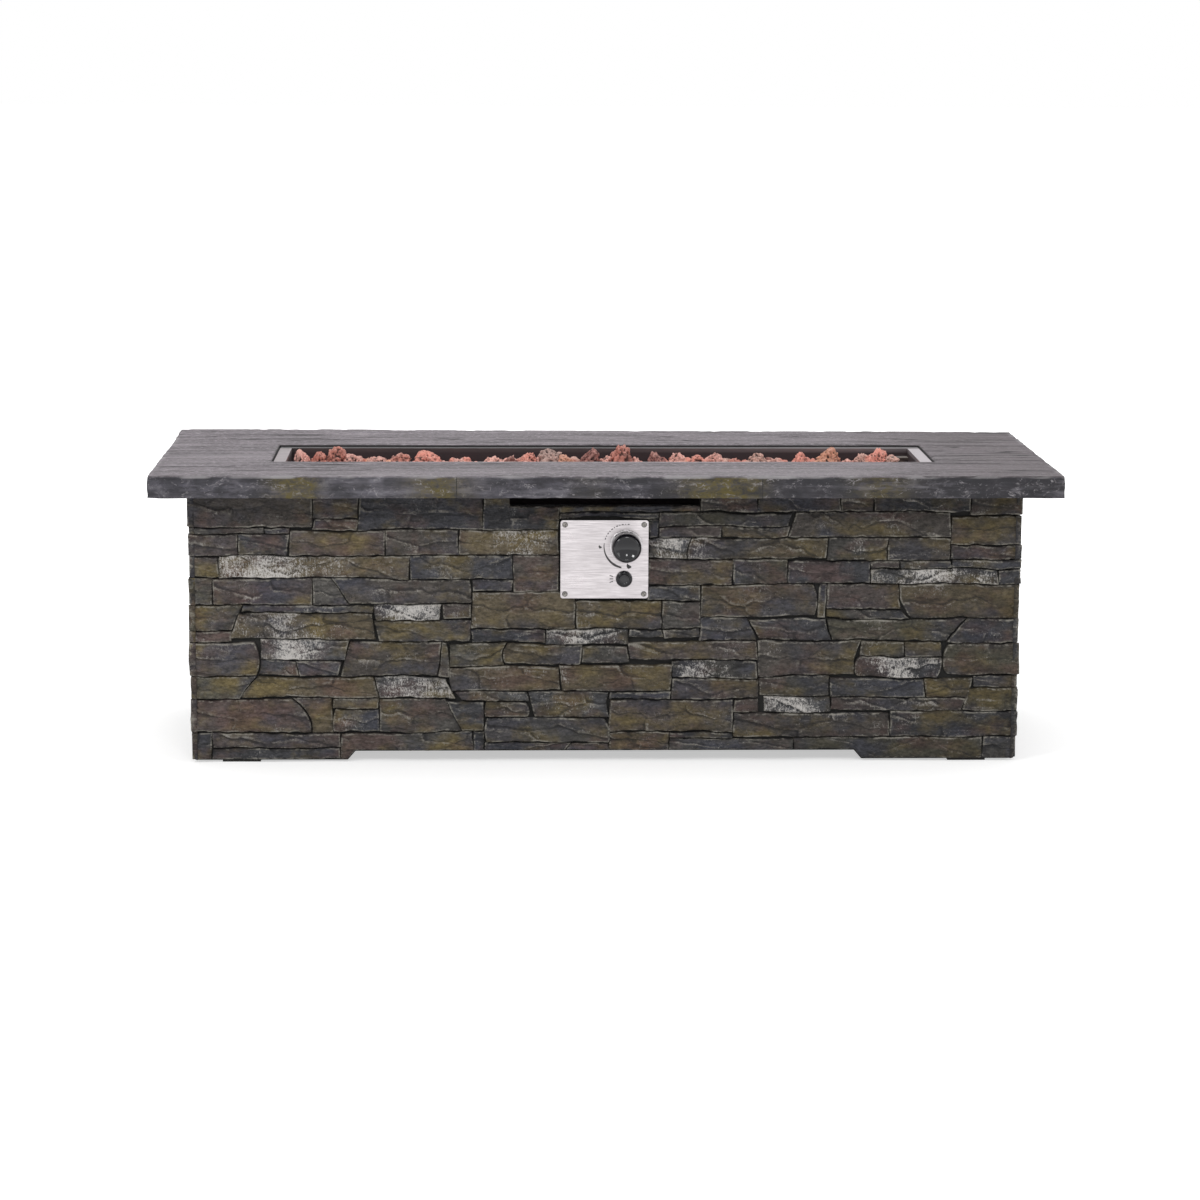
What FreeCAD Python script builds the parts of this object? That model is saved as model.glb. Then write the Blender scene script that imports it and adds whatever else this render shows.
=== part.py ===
import FreeCAD, Part
import math
import os
import re
import Sketcher

# Fire pit table: a cast slate-look slab on a cast casing faced with stacked stones. A drop-in pan of
# lava rock sits in the slab, over a gas burner that a panel in the front wall controls.
# Millimetres, +Z up. The origin is on the floor under the middle of the table, the front faces -Y.

SIZES = [
    ("table_length", 1422), ("table_width", 572), ("table_height", 463),
    ("slab_thickness", 33), ("slab_edge_chamfer", 2.5), ("overhang", 55),
    ("wall_thickness", 16), ("relief_high", 10), ("relief_mid", 8), ("relief_low", 6),
    ("pad_height", 3), ("pad_length", 60), ("pad_inset", 40),
    ("recess_end", 260), ("recess_height", 14), ("recess_slant", 12),
    ("vent_width", 300), ("vent_height", 20), ("vent_shift", -3),
    ("slab_border", 180), ("rebate_depth", 3.5), ("rebate_shelf", 15),
    ("pan_gap", 2), ("pan_flange", 19), ("pan_wall", 1.5), ("pan_depth", 75),
    ("panel_width", 138), ("panel_height", 124), ("panel_plate", 1.5), ("panel_corner", 4),
    ("panel_x", -3), ("panel_z", 326), ("panel_inset", 7), ("hatch_margin", 17),
    ("screw_radius", 2), ("screw_length", 14), ("screw_head_radius", 3.6), ("screw_head_height", 1.8),
    ("screw_slot", 0.8), ("screw_slot_length", 5),
    ("knob_dx", 34), ("knob_dz", 21), ("knob_radius", 23.5), ("knob_height", 24), ("knob_travel", 3),
    ("bezel_radius", 26), ("bezel_height", 2.5), ("bezel_bore", 9), ("stem_hole_radius", 6),
    ("button_dx", 31), ("button_dz", -31), ("button_radius", 8), ("button_height", 3.5),
    ("button_shank", 6), ("collar_radius", 13), ("collar_height", 5),
    ("igniter_radius", 11), ("igniter_wall", 1.5), ("igniter_length", 68),
    ("battery_radius", 5.25), ("battery_length", 44.5),
    ("nut_radius", 15), ("nut_height", 4),
    ("bracket_depth", 18), ("bracket_plate", 1.5), ("bracket_width", 36), ("bracket_height", 38),
    ("bracket_hole_radius", 6),
    ("valve_width", 30), ("valve_length", 46), ("port_radius", 7), ("port_length", 12),
    ("stem_radius", 4), ("stem_reach", 19), ("plunger_radius", 7), ("plunger_length", 6),
    ("valve_bore_depth", 24), ("spring_wire", 0.8), ("spring_turns", 6),
    ("tube_radius", 9.5), ("tube_wall", 1.2), ("tube_length", 900), ("tube_rise", 22),
    ("port_hole_radius", 1.5), ("lead_drop", 14), ("port_pitch", 30),
    ("stub_radius", 10.5), ("stub_length", 42), ("stub_nut_radius", 18), ("stub_nut_height", 7),
    ("shoulder_radius", 14.5),
    ("mixer_wall", 2.4), ("mixer_length", 60), ("mixer_hole_radius", 5),
    ("orifice_height", 14), ("jet_head_radius", 15),
    ("hose_radius", 5), ("wire_radius", 1.5), ("capillary_radius", 1.2),
    ("hood_x", 487), ("hood_length", 26), ("hood_width", 24), ("hood_height", 72), ("hood_plate", 1),
    ("electrode_radius", 3), ("electrode_length", 48), ("probe_radius", 2.5), ("probe_length", 62),
    ("electrode_wire", 0.8), ("electrode_tip", 16), ("seal_step", 2), ("seal_height", 3),
    ("bed_height", 44), ("bed_gap", 0.3), ("rock_pitch", 42), ("rock_gap", 0.4), ("rock_wander", 1.5),
    ("front_rise", 4),
    ("running_gap", 0.3), ("shaft_gap", 0.05), ("thread_gap", 0.1),
    ("shield_length", 180), ("shield_reach", 70), ("shield_plate", 1.2), ("shield_z", 374),
    ("inlet_z", 70), ("inlet_radius", 9), ("inlet_thread_radius", 7.94), ("inlet_thread_length", 16),
    ("inlet_hex_radius", 14), ("inlet_hex_height", 8), ("inlet_tail", 15), ("inlet_boss_radius", 20),
    ("inlet_way_radius", 4),
    ("angle_leg", 40), ("angle_plate", 3), ("angle_length", 60), ("angle_inset", 150),
    ("bolt_radius", 3), ("bolt_depth", 10), ("bolt_head_radius", 5.5), ("bolt_head_height", 4),
    ("clip_length", 10), ("clip_thickness", 4), ("lead_stand", 6), ("lead_pitch", 8), ("lead_fall", 14),
]

doc = FreeCAD.newDocument("fire_pit_table")
sheet = doc.addObject("Spreadsheet::Sheet", "sizes")
for row, (alias, value) in enumerate(SIZES, 1):
    sheet.set(f"A{row}", alias)
    sheet.set(f"B{row}", str(value))
    sheet.setAlias(f"B{row}", alias)
doc.recompute()
ALIASES = {alias for alias, value in SIZES}


def size(alias):
    """Read one driving size from the sheet, in millimetres."""
    return float(sheet.get(alias))


def bound(text):
    """Put the sheet's name before each size named in an expression."""
    return re.sub(r"[a-z][a-z_]*", lambda word: f"sizes.{word[0]}" if word[0] in ALIASES else word[0], text)


def plane(body, role):
    """Find one of a body's own origin planes."""
    for feature in body.Origin.OriginFeatures:
        if feature.Role == role:
            return feature
    raise ValueError(role)


def sketch_on(body, role, name, offset="0"):
    """Attach an empty sketch to a body's origin plane, moved along the plane's normal."""
    sketch = body.newObject("Sketcher::SketchObject", name)
    sketch.AttachmentSupport = [(plane(body, role), "")]
    sketch.MapMode = "FlatFace"
    sketch.setExpression("AttachmentOffset.Base.z", bound(offset))
    return sketch


def add_outline(sketch, points):
    """Add a closed outline whose corners are bound to pairs of expressions."""
    first = sketch.GeometryCount
    count = len(points)
    ring = [FreeCAD.Vector(math.cos(2 * math.pi * i / count), math.sin(2 * math.pi * i / count), 0)
            for i in range(count)]
    sketch.addGeometry([Part.LineSegment(ring[i], ring[(i + 1) % count]) for i in range(count)])
    for i in range(count):
        sketch.addConstraint(Sketcher.Constraint("Coincident", first + i, 2, first + (i + 1) % count, 1))
    for i, point in enumerate(points):
        for direction, text in zip(("DistanceX", "DistanceY"), point):
            start = ring[i].x if direction == "DistanceX" else ring[i].y
            index = sketch.addConstraint(Sketcher.Constraint(direction, first + i, 1, start))
            sketch.setExpression(f"Constraints[{index}]", bound(text))


def rectangle(left, right, low, high):
    """Corners of an upright rectangle, counter-clockwise."""
    return [(left, low), (right, low), (right, high), (left, high)]


# Stones of the front wall: left, right, bottom and top edges on a wall 1312 long and 430 high, from
# its left end and from the floor, course by course from the top. The rear wall is the front one
# turned half round the table.
WALL_DRAWN = (1312, 430)
FRONT_STONES = [
    (0, 194, 378, 427), (197, 266, 392, 427), (197, 266, 373, 389), (269, 462, 373, 427),
    (465, 580, 373, 427), (583, 802, 401, 427), (583, 737, 391, 398), (805, 892, 402, 427),
    (895, 1022, 402, 427), (1025, 1075, 402, 427), (1078, 1228, 402, 427), (1231, 1312, 396, 427),
    (723, 737, 361, 388), (740, 938, 379, 398), (740, 835, 361, 376), (838, 938, 361, 376),
    (941, 1198, 361, 399), (1201, 1312, 350, 393),
    (0, 118, 367, 375), (121, 158, 367, 375), (0, 78, 332, 364), (81, 157, 332, 364),
    (161, 309, 332, 370), (312, 423, 332, 370), (426, 580, 332, 370),
    (723, 783, 328, 358), (786, 1003, 328, 358), (1006, 1098, 325, 358), (1101, 1198, 325, 358),
    (1201, 1312, 327, 347), (1203, 1312, 312, 324),
    (0, 47, 298, 329), (50, 346, 296, 329), (349, 507, 296, 329), (510, 580, 275, 329),
    (447, 507, 277, 293), (723, 855, 287, 325), (858, 940, 287, 325), (943, 1071, 287, 322),
    (1074, 1118, 312, 322), (1121, 1200, 312, 322), (1074, 1275, 287, 309), (1278, 1312, 287, 309),
    (0, 36, 254, 295), (39, 194, 254, 293), (197, 248, 254, 293), (251, 443, 256, 293),
    (292, 396, 230, 253), (402, 443, 231, 253), (100, 289, 242, 251), (0, 78, 213, 251),
    (81, 289, 200, 239), (446, 606, 215, 273), (609, 743, 215, 258), (746, 804, 216, 258),
    (723, 804, 261, 284), (807, 990, 235, 284), (993, 1003, 232, 284), (1006, 1118, 248, 284),
    (1006, 1118, 232, 245), (1122, 1312, 232, 284),
    (0, 66, 195, 210), (296, 443, 197, 227), (446, 560, 193, 212), (563, 690, 191, 212),
    (693, 745, 202, 212), (748, 803, 201, 213), (806, 890, 195, 232), (894, 1006, 197, 229),
    (1010, 1200, 196, 229), (1203, 1312, 193, 229),
    (0, 110, 141, 192), (114, 250, 167, 197), (114, 168, 142, 164), (171, 240, 142, 164),
    (253, 393, 140, 194), (396, 407, 139, 194), (410, 496, 156, 190), (499, 617, 158, 188),
    (620, 690, 161, 186), (693, 895, 165, 192), (762, 895, 136, 162), (898, 1050, 139, 193),
    (1060, 1128, 170, 192), (1131, 1187, 170, 192), (1053, 1187, 137, 167), (1191, 1312, 141, 190),
    (0, 95, 103, 138), (98, 295, 105, 137), (299, 407, 104, 136), (410, 582, 117, 153),
    (586, 759, 116, 155), (664, 759, 103, 113), (762, 897, 103, 133), (900, 1009, 106, 136),
    (1013, 1160, 104, 133), (1163, 1237, 104, 134), (1240, 1312, 121, 138), (1240, 1312, 83, 118),
    (0, 185, 50, 100), (188, 223, 49, 102), (226, 296, 50, 84), (226, 296, 87, 102),
    (299, 415, 49, 101), (418, 462, 49, 97), (418, 534, 100, 114), (465, 534, 74, 97),
    (537, 661, 73, 113), (465, 661, 32, 70), (664, 858, 49, 100), (861, 896, 80, 99),
    (908, 1012, 80, 103), (1015, 1237, 82, 101), (861, 1106, 41, 77), (1109, 1312, 41, 80),
    (0, 32, 4, 47), (35, 235, 24, 46), (35, 235, 4, 21), (238, 445, 4, 46), (448, 462, 4, 46),
    (465, 598, 4, 29), (601, 661, 4, 29), (664, 755, 4, 46), (758, 858, 39, 46), (758, 955, 4, 36),
    (958, 1254, 4, 38), (1257, 1312, 4, 38),
]
# Stones of an end wall, seen from outside and from its left end: those at both ends meet the long
# walls' end stones.
SIDE_DRAWN = (462, 430)
SIDE_STONES = [
    (342, 462, 378, 427), (212, 339, 396, 427), (132, 209, 396, 427), (0, 129, 396, 427),
    (257, 339, 366, 393), (162, 254, 366, 393), (0, 159, 350, 393), (342, 462, 367, 375),
    (374, 462, 332, 364), (266, 371, 331, 363), (162, 263, 349, 363), (194, 263, 325, 346),
    (0, 191, 327, 347), (0, 191, 312, 324), (402, 462, 298, 329), (266, 399, 297, 328),
    (194, 263, 297, 322), (112, 191, 287, 309), (0, 109, 287, 309), (332, 462, 254, 295),
    (224, 329, 253, 294), (194, 221, 267, 294), (112, 221, 232, 264), (112, 191, 267, 284),
    (0, 109, 232, 284), (378, 462, 213, 251), (292, 375, 213, 250), (224, 289, 231, 250),
    (162, 289, 213, 228), (0, 159, 193, 229), (344, 462, 195, 210), (250, 341, 194, 210),
    (162, 247, 193, 210), (392, 462, 141, 192), (302, 389, 166, 191), (302, 389, 141, 163),
    (200, 299, 141, 190), (132, 197, 165, 190), (132, 197, 141, 162), (0, 129, 141, 190),
    (322, 462, 103, 138), (214, 319, 120, 138), (240, 319, 103, 117), (0, 211, 121, 138),
    (122, 237, 83, 118), (0, 119, 83, 118), (370, 462, 50, 100), (240, 367, 76, 100),
    (302, 367, 50, 73), (240, 299, 50, 73), (144, 237, 41, 80), (0, 141, 41, 80), (336, 462, 4, 47),
    (240, 333, 25, 47), (240, 333, 4, 22), (112, 237, 4, 38), (0, 109, 4, 38),
]

# Sizes that several pieces share, as expressions of the driving ones.
SLAB_UNDER = "(table_height - slab_thickness)"
BASE_LENGTH = "(table_length - 2 * overhang)"
BASE_WIDTH = "(table_width - 2 * overhang)"
CORE_HALF_LENGTH = f"({BASE_LENGTH} / 2 - relief_high)"
CORE_HALF_WIDTH = f"({BASE_WIDTH} / 2 - relief_high)"
ROOM_HALF_LENGTH = f"({CORE_HALF_LENGTH} - wall_thickness)"
ROOM_HALF_WIDTH = f"({CORE_HALF_WIDTH} - wall_thickness)"
CUT_HALF_LENGTH = "(table_length / 2 - slab_border)"
CUT_HALF_WIDTH = "(table_width / 2 - slab_border)"
FLANGE_TOP = "(table_height - rebate_depth + pan_wall)"
PAN_HALF_LENGTH = f"({CUT_HALF_LENGTH} - pan_gap - pan_flange)"
PAN_HALF_WIDTH = f"({CUT_HALF_WIDTH} - pan_gap - pan_flange)"
PAN_UNDER = "(table_height - rebate_depth - pan_depth)"
PAN_FLOOR = f"({PAN_UNDER} + pan_wall)"
PANEL_BACK = f"(-{BASE_WIDTH} / 2)"
PANEL_FRONT = f"({PANEL_BACK} - panel_plate)"
KNOB_X = "(panel_x + knob_dx)"
KNOB_Z = "(panel_z + knob_dz)"
BUTTON_X = "(panel_x + button_dx)"
BUTTON_Z = "(panel_z + button_dz)"
VALVE_FRONT = f"({PANEL_BACK} + bracket_depth)"

HATCH_HALF_WIDTH = "(panel_width / 2 - hatch_margin)"
HATCH_HALF_HEIGHT = "(panel_height / 2 - hatch_margin)"
SIGNS = ("-", "+")
PANEL_CORNERS = [(f"panel_x {x} (panel_width / 2 - panel_inset)",
                  f"panel_z {z} (panel_height / 2 - panel_inset)") for x in SIGNS for z in SIGNS]
ANGLE_SPOTS = [(f"{end}1 * ({ROOM_HALF_LENGTH} - angle_inset)", side) for end in SIGNS for side in SIGNS]
WALL_BOLT_Z = f"({SLAB_UNDER} - angle_leg / 2 - angle_plate)"
SLAB_BOLT_Y = f"({ROOM_HALF_WIDTH} - angle_leg / 2 - angle_plate)"
ELECTRODE = ("hood_x - hood_length / 4", "hood_width / 5")
PROBE = ("hood_x + hood_length / 6", "-hood_width / 5")
KNOB_BACK = f"({PANEL_FRONT} - bezel_height - knob_travel - running_gap)"
VALVE_INLET_Y = f"({VALVE_FRONT} + valve_bore_depth + port_radius)"
SPARK_Z = "(panel_z - lead_fall)"
MIXER_TOP = f"({PAN_UNDER} - stub_nut_height)"

TURNS = {
    "z": FreeCAD.Rotation(),
    "-z": FreeCAD.Rotation(FreeCAD.Vector(1, 0, 0), 180),
    "x": FreeCAD.Rotation(FreeCAD.Vector(0, 1, 0), 90),
    "-x": FreeCAD.Rotation(FreeCAD.Vector(0, 1, 0), -90),
    "y": FreeCAD.Rotation(FreeCAD.Vector(1, 0, 0), -90),
    "-y": FreeCAD.Rotation(FreeCAD.Vector(1, 0, 0), 90),
}
subparts = []


def keep(item, label):
    """Name a finished sub-part and list it for writing."""
    item.Label = label
    subparts.append(item)
    return item


def move(item, at):
    """Bind a shape's place to three expressions."""
    for axis, text in zip("xyz", at):
        item.setExpression(f"Placement.Base.{axis}", bound(text))
    return item


def box(name, spans):
    """A box from three pairs of expressions, its low and high face along X, Y and Z."""
    item = doc.addObject("Part::Box", name)
    for edge, (low, high) in zip(("Length", "Width", "Height"), spans):
        item.setExpression(edge, bound(f"({high}) - ({low})"))
    return move(item, [low for low, high in spans])


def rod(name, radius, length, at, along="z"):
    """A round bar from its foot along one of the six directions."""
    item = doc.addObject("Part::Cylinder", name)
    item.Placement = FreeCAD.Placement(FreeCAD.Vector(), TURNS[along])
    item.setExpression("Radius", bound(radius))
    item.setExpression("Height", bound(length))
    return move(item, at)


def hexagon(name, radius, length, at, along="z"):
    """A six-sided bar from its foot along one of the six directions."""
    item = doc.addObject("Part::Prism", name)
    item.Polygon = 6
    item.Placement = FreeCAD.Placement(FreeCAD.Vector(), TURNS[along])
    item.setExpression("Circumradius", bound(radius))
    item.setExpression("Height", bound(length))
    return move(item, at)


def group(name, items):
    """Several separate solids as one shape."""
    item = doc.addObject("Part::Compound", name)
    item.Links = items
    return item


def fuse(name, items):
    """One solid out of pieces that touch or overlap."""
    item = doc.addObject("Part::MultiFuse", name)
    item.Shapes = items
    item.Refine = True
    return item


def cut(name, base, tools):
    """A shape with the tools' space taken out of it."""
    item = doc.addObject("Part::Cut", name)
    item.Base = base
    item.Tool = tools[0] if len(tools) == 1 else group(f"{name}_tools", tools)
    item.Refine = True
    return item


def ring(name, outer, inner, length, at, along="z"):
    """A round tube: a bar with a bore right through it."""
    outside = rod(f"{name}_outside", outer, length, at, along)
    return cut(name, outside, [rod(f"{name}_bore", inner, length, at, along)])


def prism(name, points, start, length):
    """A closed outline in the XZ plane, carried along Y from a start for a length."""
    sketch = doc.addObject("Sketcher::SketchObject", f"{name}_outline")
    sketch.Placement = FreeCAD.Placement(FreeCAD.Vector(), TURNS["-y"])
    add_outline(sketch, points)
    item = doc.addObject("Part::Extrusion", name)
    item.Base = sketch
    item.DirMode = "Custom"
    item.Dir = FreeCAD.Vector(0, 1, 0)
    item.Solid = True
    item.setExpression("LengthFwd", bound(length))
    return move(item, ("0", start, "0"))


def pad(body, sketch, name, length):
    """Pad a sketch along its normal by an expression."""
    feature = body.newObject("PartDesign::Pad", name)
    feature.Profile = sketch
    feature.setExpression("Length", bound(length))
    return feature


def pocket(body, sketch, name, depth=None):
    """Cut a sketch out of a body, right through unless a depth is given."""
    feature = body.newObject("PartDesign::Pocket", name)
    feature.Profile = sketch
    if depth is None:
        feature.Type = 1
    else:
        feature.setExpression("Length", bound(depth))


def relief_of(stone):
    """Which of the three stone depths a stone has. Stones of one height share theirs, so that the
    two halves of a corner stone agree."""
    return ("relief_high", "relief_low", "relief_mid")[stone[2] % 3]


def spot_of(stone, drawn, wall_width, reach):
    """A stone's edges on the real wall, from the wall's middle and from the floor."""
    wall_top = size("table_height") - size("slab_thickness")
    left, right, low, high = stone
    start = max((left / drawn[0] - 0.5) * wall_width, -reach)
    end = min((right / drawn[0] - 0.5) * wall_width, reach)
    return start, end, low / drawn[1] * wall_top, high / drawn[1] * wall_top


def lay_stones(name, stones, drawn, wall_width, core_depth, angle, windows=()):
    """Stand stones out of one wall: a sketch of plain rectangles for each depth, on the face of the
    plain wall, and an extrusion of it. The angle turns the front wall's frame to this wall. Returns
    the stones that are clear of the windows and those that cross one, apart."""
    turn = FreeCAD.Rotation(FreeCAD.Vector(0, 0, 1), angle)
    upright = FreeCAD.Rotation(FreeCAD.Vector(1, 0, 0), 90)
    layers = {False: [], True: []}
    for depth in ("relief_high", "relief_mid", "relief_low"):
        reach = wall_width / 2 - size("relief_high") + size(depth)
        outlines = {False: [], True: []}
        for stone in [stone for stone in stones if relief_of(stone) == depth]:
            start, end, foot, head = spot_of(stone, drawn, wall_width, reach)
            crosses = any(start < right and end > left and foot < high and head > low
                          for left, right, low, high in windows)
            corners = [FreeCAD.Vector(start, foot, 0), FreeCAD.Vector(end, foot, 0),
                       FreeCAD.Vector(end, head, 0), FreeCAD.Vector(start, head, 0)]
            outlines[crosses] += [Part.LineSegment(corners[i], corners[(i + 1) % 4]) for i in range(4)]
        for crosses, lines in outlines.items():
            if not lines:
                continue
            kind = "crossing" if crosses else "clear"
            sketch = doc.addObject("Sketcher::SketchObject", f"{name}_{depth}_{kind}_faces")
            sketch.addGeometry(lines)
            sketch.Placement = FreeCAD.Placement(turn.multVec(FreeCAD.Vector(0, -core_depth / 2, 0)),
                                                 turn * upright)
            layer = doc.addObject("Part::Extrusion", f"{name}_{depth}_{kind}_stones")
            layer.Base = sketch
            layer.DirMode = "Normal"
            layer.Solid = True
            layer.setExpression("LengthFwd", bound(depth))
            layers[crosses].append(layer)
    return layers[False], layers[True]


def window(middle, half_width, foot, head):
    """The left, right, low and high edge of an opening in a wall."""
    return middle - half_width, middle + half_width, foot, head


def make_base_shell():
    """Cast casing: a plain wall all round faced with stones, a flat seat for the panel and one for
    the gas inlet, vent slots under the slab, and a recess between the feet of each long wall."""
    inside = f"{SLAB_UNDER} + 1"
    across = (f"-{BASE_WIDTH}", BASE_WIDTH)
    core = box("core", [(f"-{CORE_HALF_LENGTH}", CORE_HALF_LENGTH),
                        (f"-{CORE_HALF_WIDTH}", CORE_HALF_WIDTH), ("pad_height", SLAB_UNDER)])
    room = box("room", [(f"-{ROOM_HALF_LENGTH}", ROOM_HALF_LENGTH),
                        (f"-{ROOM_HALF_WIDTH}", ROOM_HALF_WIDTH), ("0", inside)])
    vents = box("vent_slots", [("vent_shift - vent_width / 2", "vent_shift + vent_width / 2"), across,
                               (f"{SLAB_UNDER} - vent_height", inside)])
    gap_half = f"({BASE_LENGTH} / 2 - recess_end)"
    toe = prism("toe_recess", [(f"-{gap_half} - recess_slant", "0"), (f"{gap_half} + recess_slant", "0"),
                               (f"{gap_half} + recess_slant", "pad_height"),
                               (gap_half, "pad_height + recess_height"),
                               (f"-{gap_half}", "pad_height + recess_height"),
                               (f"-{gap_half} - recess_slant", "pad_height")],
                f"-{BASE_WIDTH}", f"2 * {BASE_WIDTH}")
    hatch = box("hatch", [(f"panel_x - {HATCH_HALF_WIDTH}", f"panel_x + {HATCH_HALF_WIDTH}"),
                          (f"{PANEL_BACK} - 1", f"-{ROOM_HALF_WIDTH} + 1"),
                          (f"panel_z - {HATCH_HALF_HEIGHT}", f"panel_z + {HATCH_HALF_HEIGHT}")])
    screw_holes = [rod(f"screw_hole_{i}", "screw_radius + thread_gap", "screw_length",
                       (x, PANEL_BACK, z), "y") for i, (x, z) in enumerate(PANEL_CORNERS)]
    inlet_hole = rod("inlet_hole", "inlet_radius + thread_gap", "wall_thickness + relief_high + 2",
                     ("0", f"{ROOM_HALF_WIDTH} - 1", "inlet_z"), "y")
    bolt_holes = [rod(f"wall_bolt_hole_{i}", "bolt_radius + thread_gap", "bolt_depth",
                      (x, f"{side}1 * {ROOM_HALF_WIDTH}", WALL_BOLT_Z), f"{side}y".lstrip("+"))
                  for i, (x, side) in enumerate(ANGLE_SPOTS)]
    walls = cut("walls", core, [room])
    walls_open = cut("walls_open", walls, [vents, toe, hatch, inlet_hole] + screw_holes + bolt_holes)

    length = size("table_length") - 2 * size("overhang")
    width = size("table_width") - 2 * size("overhang")
    core_length = length - 2 * size("relief_high")
    core_width = width - 2 * size("relief_high")
    top = size("table_height") - size("slab_thickness")
    toe_half = length / 2 - size("recess_end") + size("recess_slant")
    toe_window = window(0, toe_half, 0, size("pad_height") + size("recess_height"))
    vent_foot = top - size("vent_height")
    hatch_window = window(size("panel_x"), size("panel_width") / 2,
                          size("panel_z") - size("panel_height") / 2,
                          size("panel_z") + size("panel_height") / 2)
    inlet_window = window(0, size("inlet_boss_radius"), size("inlet_z") - size("inlet_boss_radius"),
                          size("inlet_z") + size("inlet_boss_radius"))
    front_vent = window(size("vent_shift"), size("vent_width") / 2, vent_foot, top)
    rear_vent = window(-size("vent_shift"), size("vent_width") / 2, vent_foot, top)
    front, front_crossing = lay_stones("front", FRONT_STONES, WALL_DRAWN, length, core_width, 0,
                                       [front_vent, toe_window, hatch_window])
    rear, rear_crossing = lay_stones("rear", FRONT_STONES, WALL_DRAWN, length, core_width, 180,
                                     [rear_vent, toe_window, inlet_window])
    left = lay_stones("left", SIDE_STONES, SIDE_DRAWN, width, core_length, -90)[0]
    right = lay_stones("right", SIDE_STONES, SIDE_DRAWN, width, core_length, 90)[0]
    seat = box("panel_seat", [("panel_x - panel_width / 2 + 1", "panel_x + panel_width / 2 - 1"),
                              (PANEL_BACK, f"{PANEL_BACK} + relief_high"),
                              ("panel_z - panel_height / 2 + 1", "panel_z + panel_height / 2 - 1")])
    inlet_seat = rod("inlet_seat", "inlet_boss_radius", "relief_high",
                     ("0", CORE_HALF_WIDTH, "inlet_z"), "y")
    front_cut = cut("front_open", group("front_crossing", front_crossing),
                    [vents, toe, hatch] + screw_holes)
    rear_cut = cut("rear_open", group("rear_crossing", rear_crossing), [vents, toe, inlet_hole])
    panel_seat_open = cut("panel_seat_open", seat, [hatch] + screw_holes)
    inlet_seat_open = cut("inlet_seat_open", inlet_seat, [inlet_hole])
    keep(fuse("base_shell", [walls_open, group("clear_stones", front + rear),
                             group("end_stones", left + right), front_cut, rear_cut,
                             panel_seat_open, inlet_seat_open]), "base_shell")


def make_foot_pads():
    """A strip of rubber under each foot of the casing."""
    pads = []
    for end in ("-", "+"):
        near = f"{CORE_HALF_LENGTH} - pad_inset - pad_length"
        far = f"{CORE_HALF_LENGTH} - pad_inset"
        spans = (f"-({far})", f"-({near})") if end == "-" else (near, far)
        for side in ("-", "+"):
            walls = (f"-{CORE_HALF_WIDTH}", f"-{ROOM_HALF_WIDTH}")
            if side == "+":
                walls = (ROOM_HALF_WIDTH, CORE_HALF_WIDTH)
            pads.append(box(f"pad_{len(pads)}", [spans, walls, ("0", "pad_height")]))
    keep(group("foot_pads", pads), "foot_pads")


def make_table_top():
    """Cast slab with a chamfered edge, a cut-out for the pan, a rebate and its bolt sockets."""
    body = doc.addObject("PartDesign::Body", "slab_body")
    plan = sketch_on(body, "XY_Plane", "slab_plan", SLAB_UNDER)
    add_outline(plan, rectangle("-table_length / 2", "table_length / 2",
                                "-table_width / 2", "table_width / 2"))
    slab = pad(body, plan, "slab", "slab_thickness")
    doc.recompute()
    edges = [f"Edge{i}" for i, edge in enumerate(slab.Shape.Edges, 1)
             if abs(edge.CenterOfMass.z - size("table_height")) < 0.01]
    chamfer = body.newObject("PartDesign::Chamfer", "slab_edge")
    chamfer.Base = (slab, edges)
    chamfer.setExpression("Size", "sizes.slab_edge_chamfer")
    body.Tip = chamfer
    rebate = sketch_on(body, "XY_Plane", "rebate_plan", "table_height")
    add_outline(rebate, rectangle(f"-{CUT_HALF_LENGTH}", CUT_HALF_LENGTH,
                                  f"-{CUT_HALF_WIDTH}", CUT_HALF_WIDTH))
    pocket(body, rebate, "rebate", "rebate_depth")
    through = sketch_on(body, "XY_Plane", "cut_out_plan", "table_height")
    inner_x = f"({CUT_HALF_LENGTH} - rebate_shelf)"
    inner_y = f"({CUT_HALF_WIDTH} - rebate_shelf)"
    add_outline(through, rectangle(f"-{inner_x}", inner_x, f"-{inner_y}", inner_y))
    pocket(body, through, "cut_out")
    sockets = [rod(f"slab_socket_{i}", "bolt_radius + thread_gap", "bolt_depth",
                   (x, f"{side}1 * {SLAB_BOLT_Y}", SLAB_UNDER)) for i, (x, side) in enumerate(ANGLE_SPOTS)]
    keep(cut("slab_with_sockets", body, sockets), "table_top")


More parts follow.
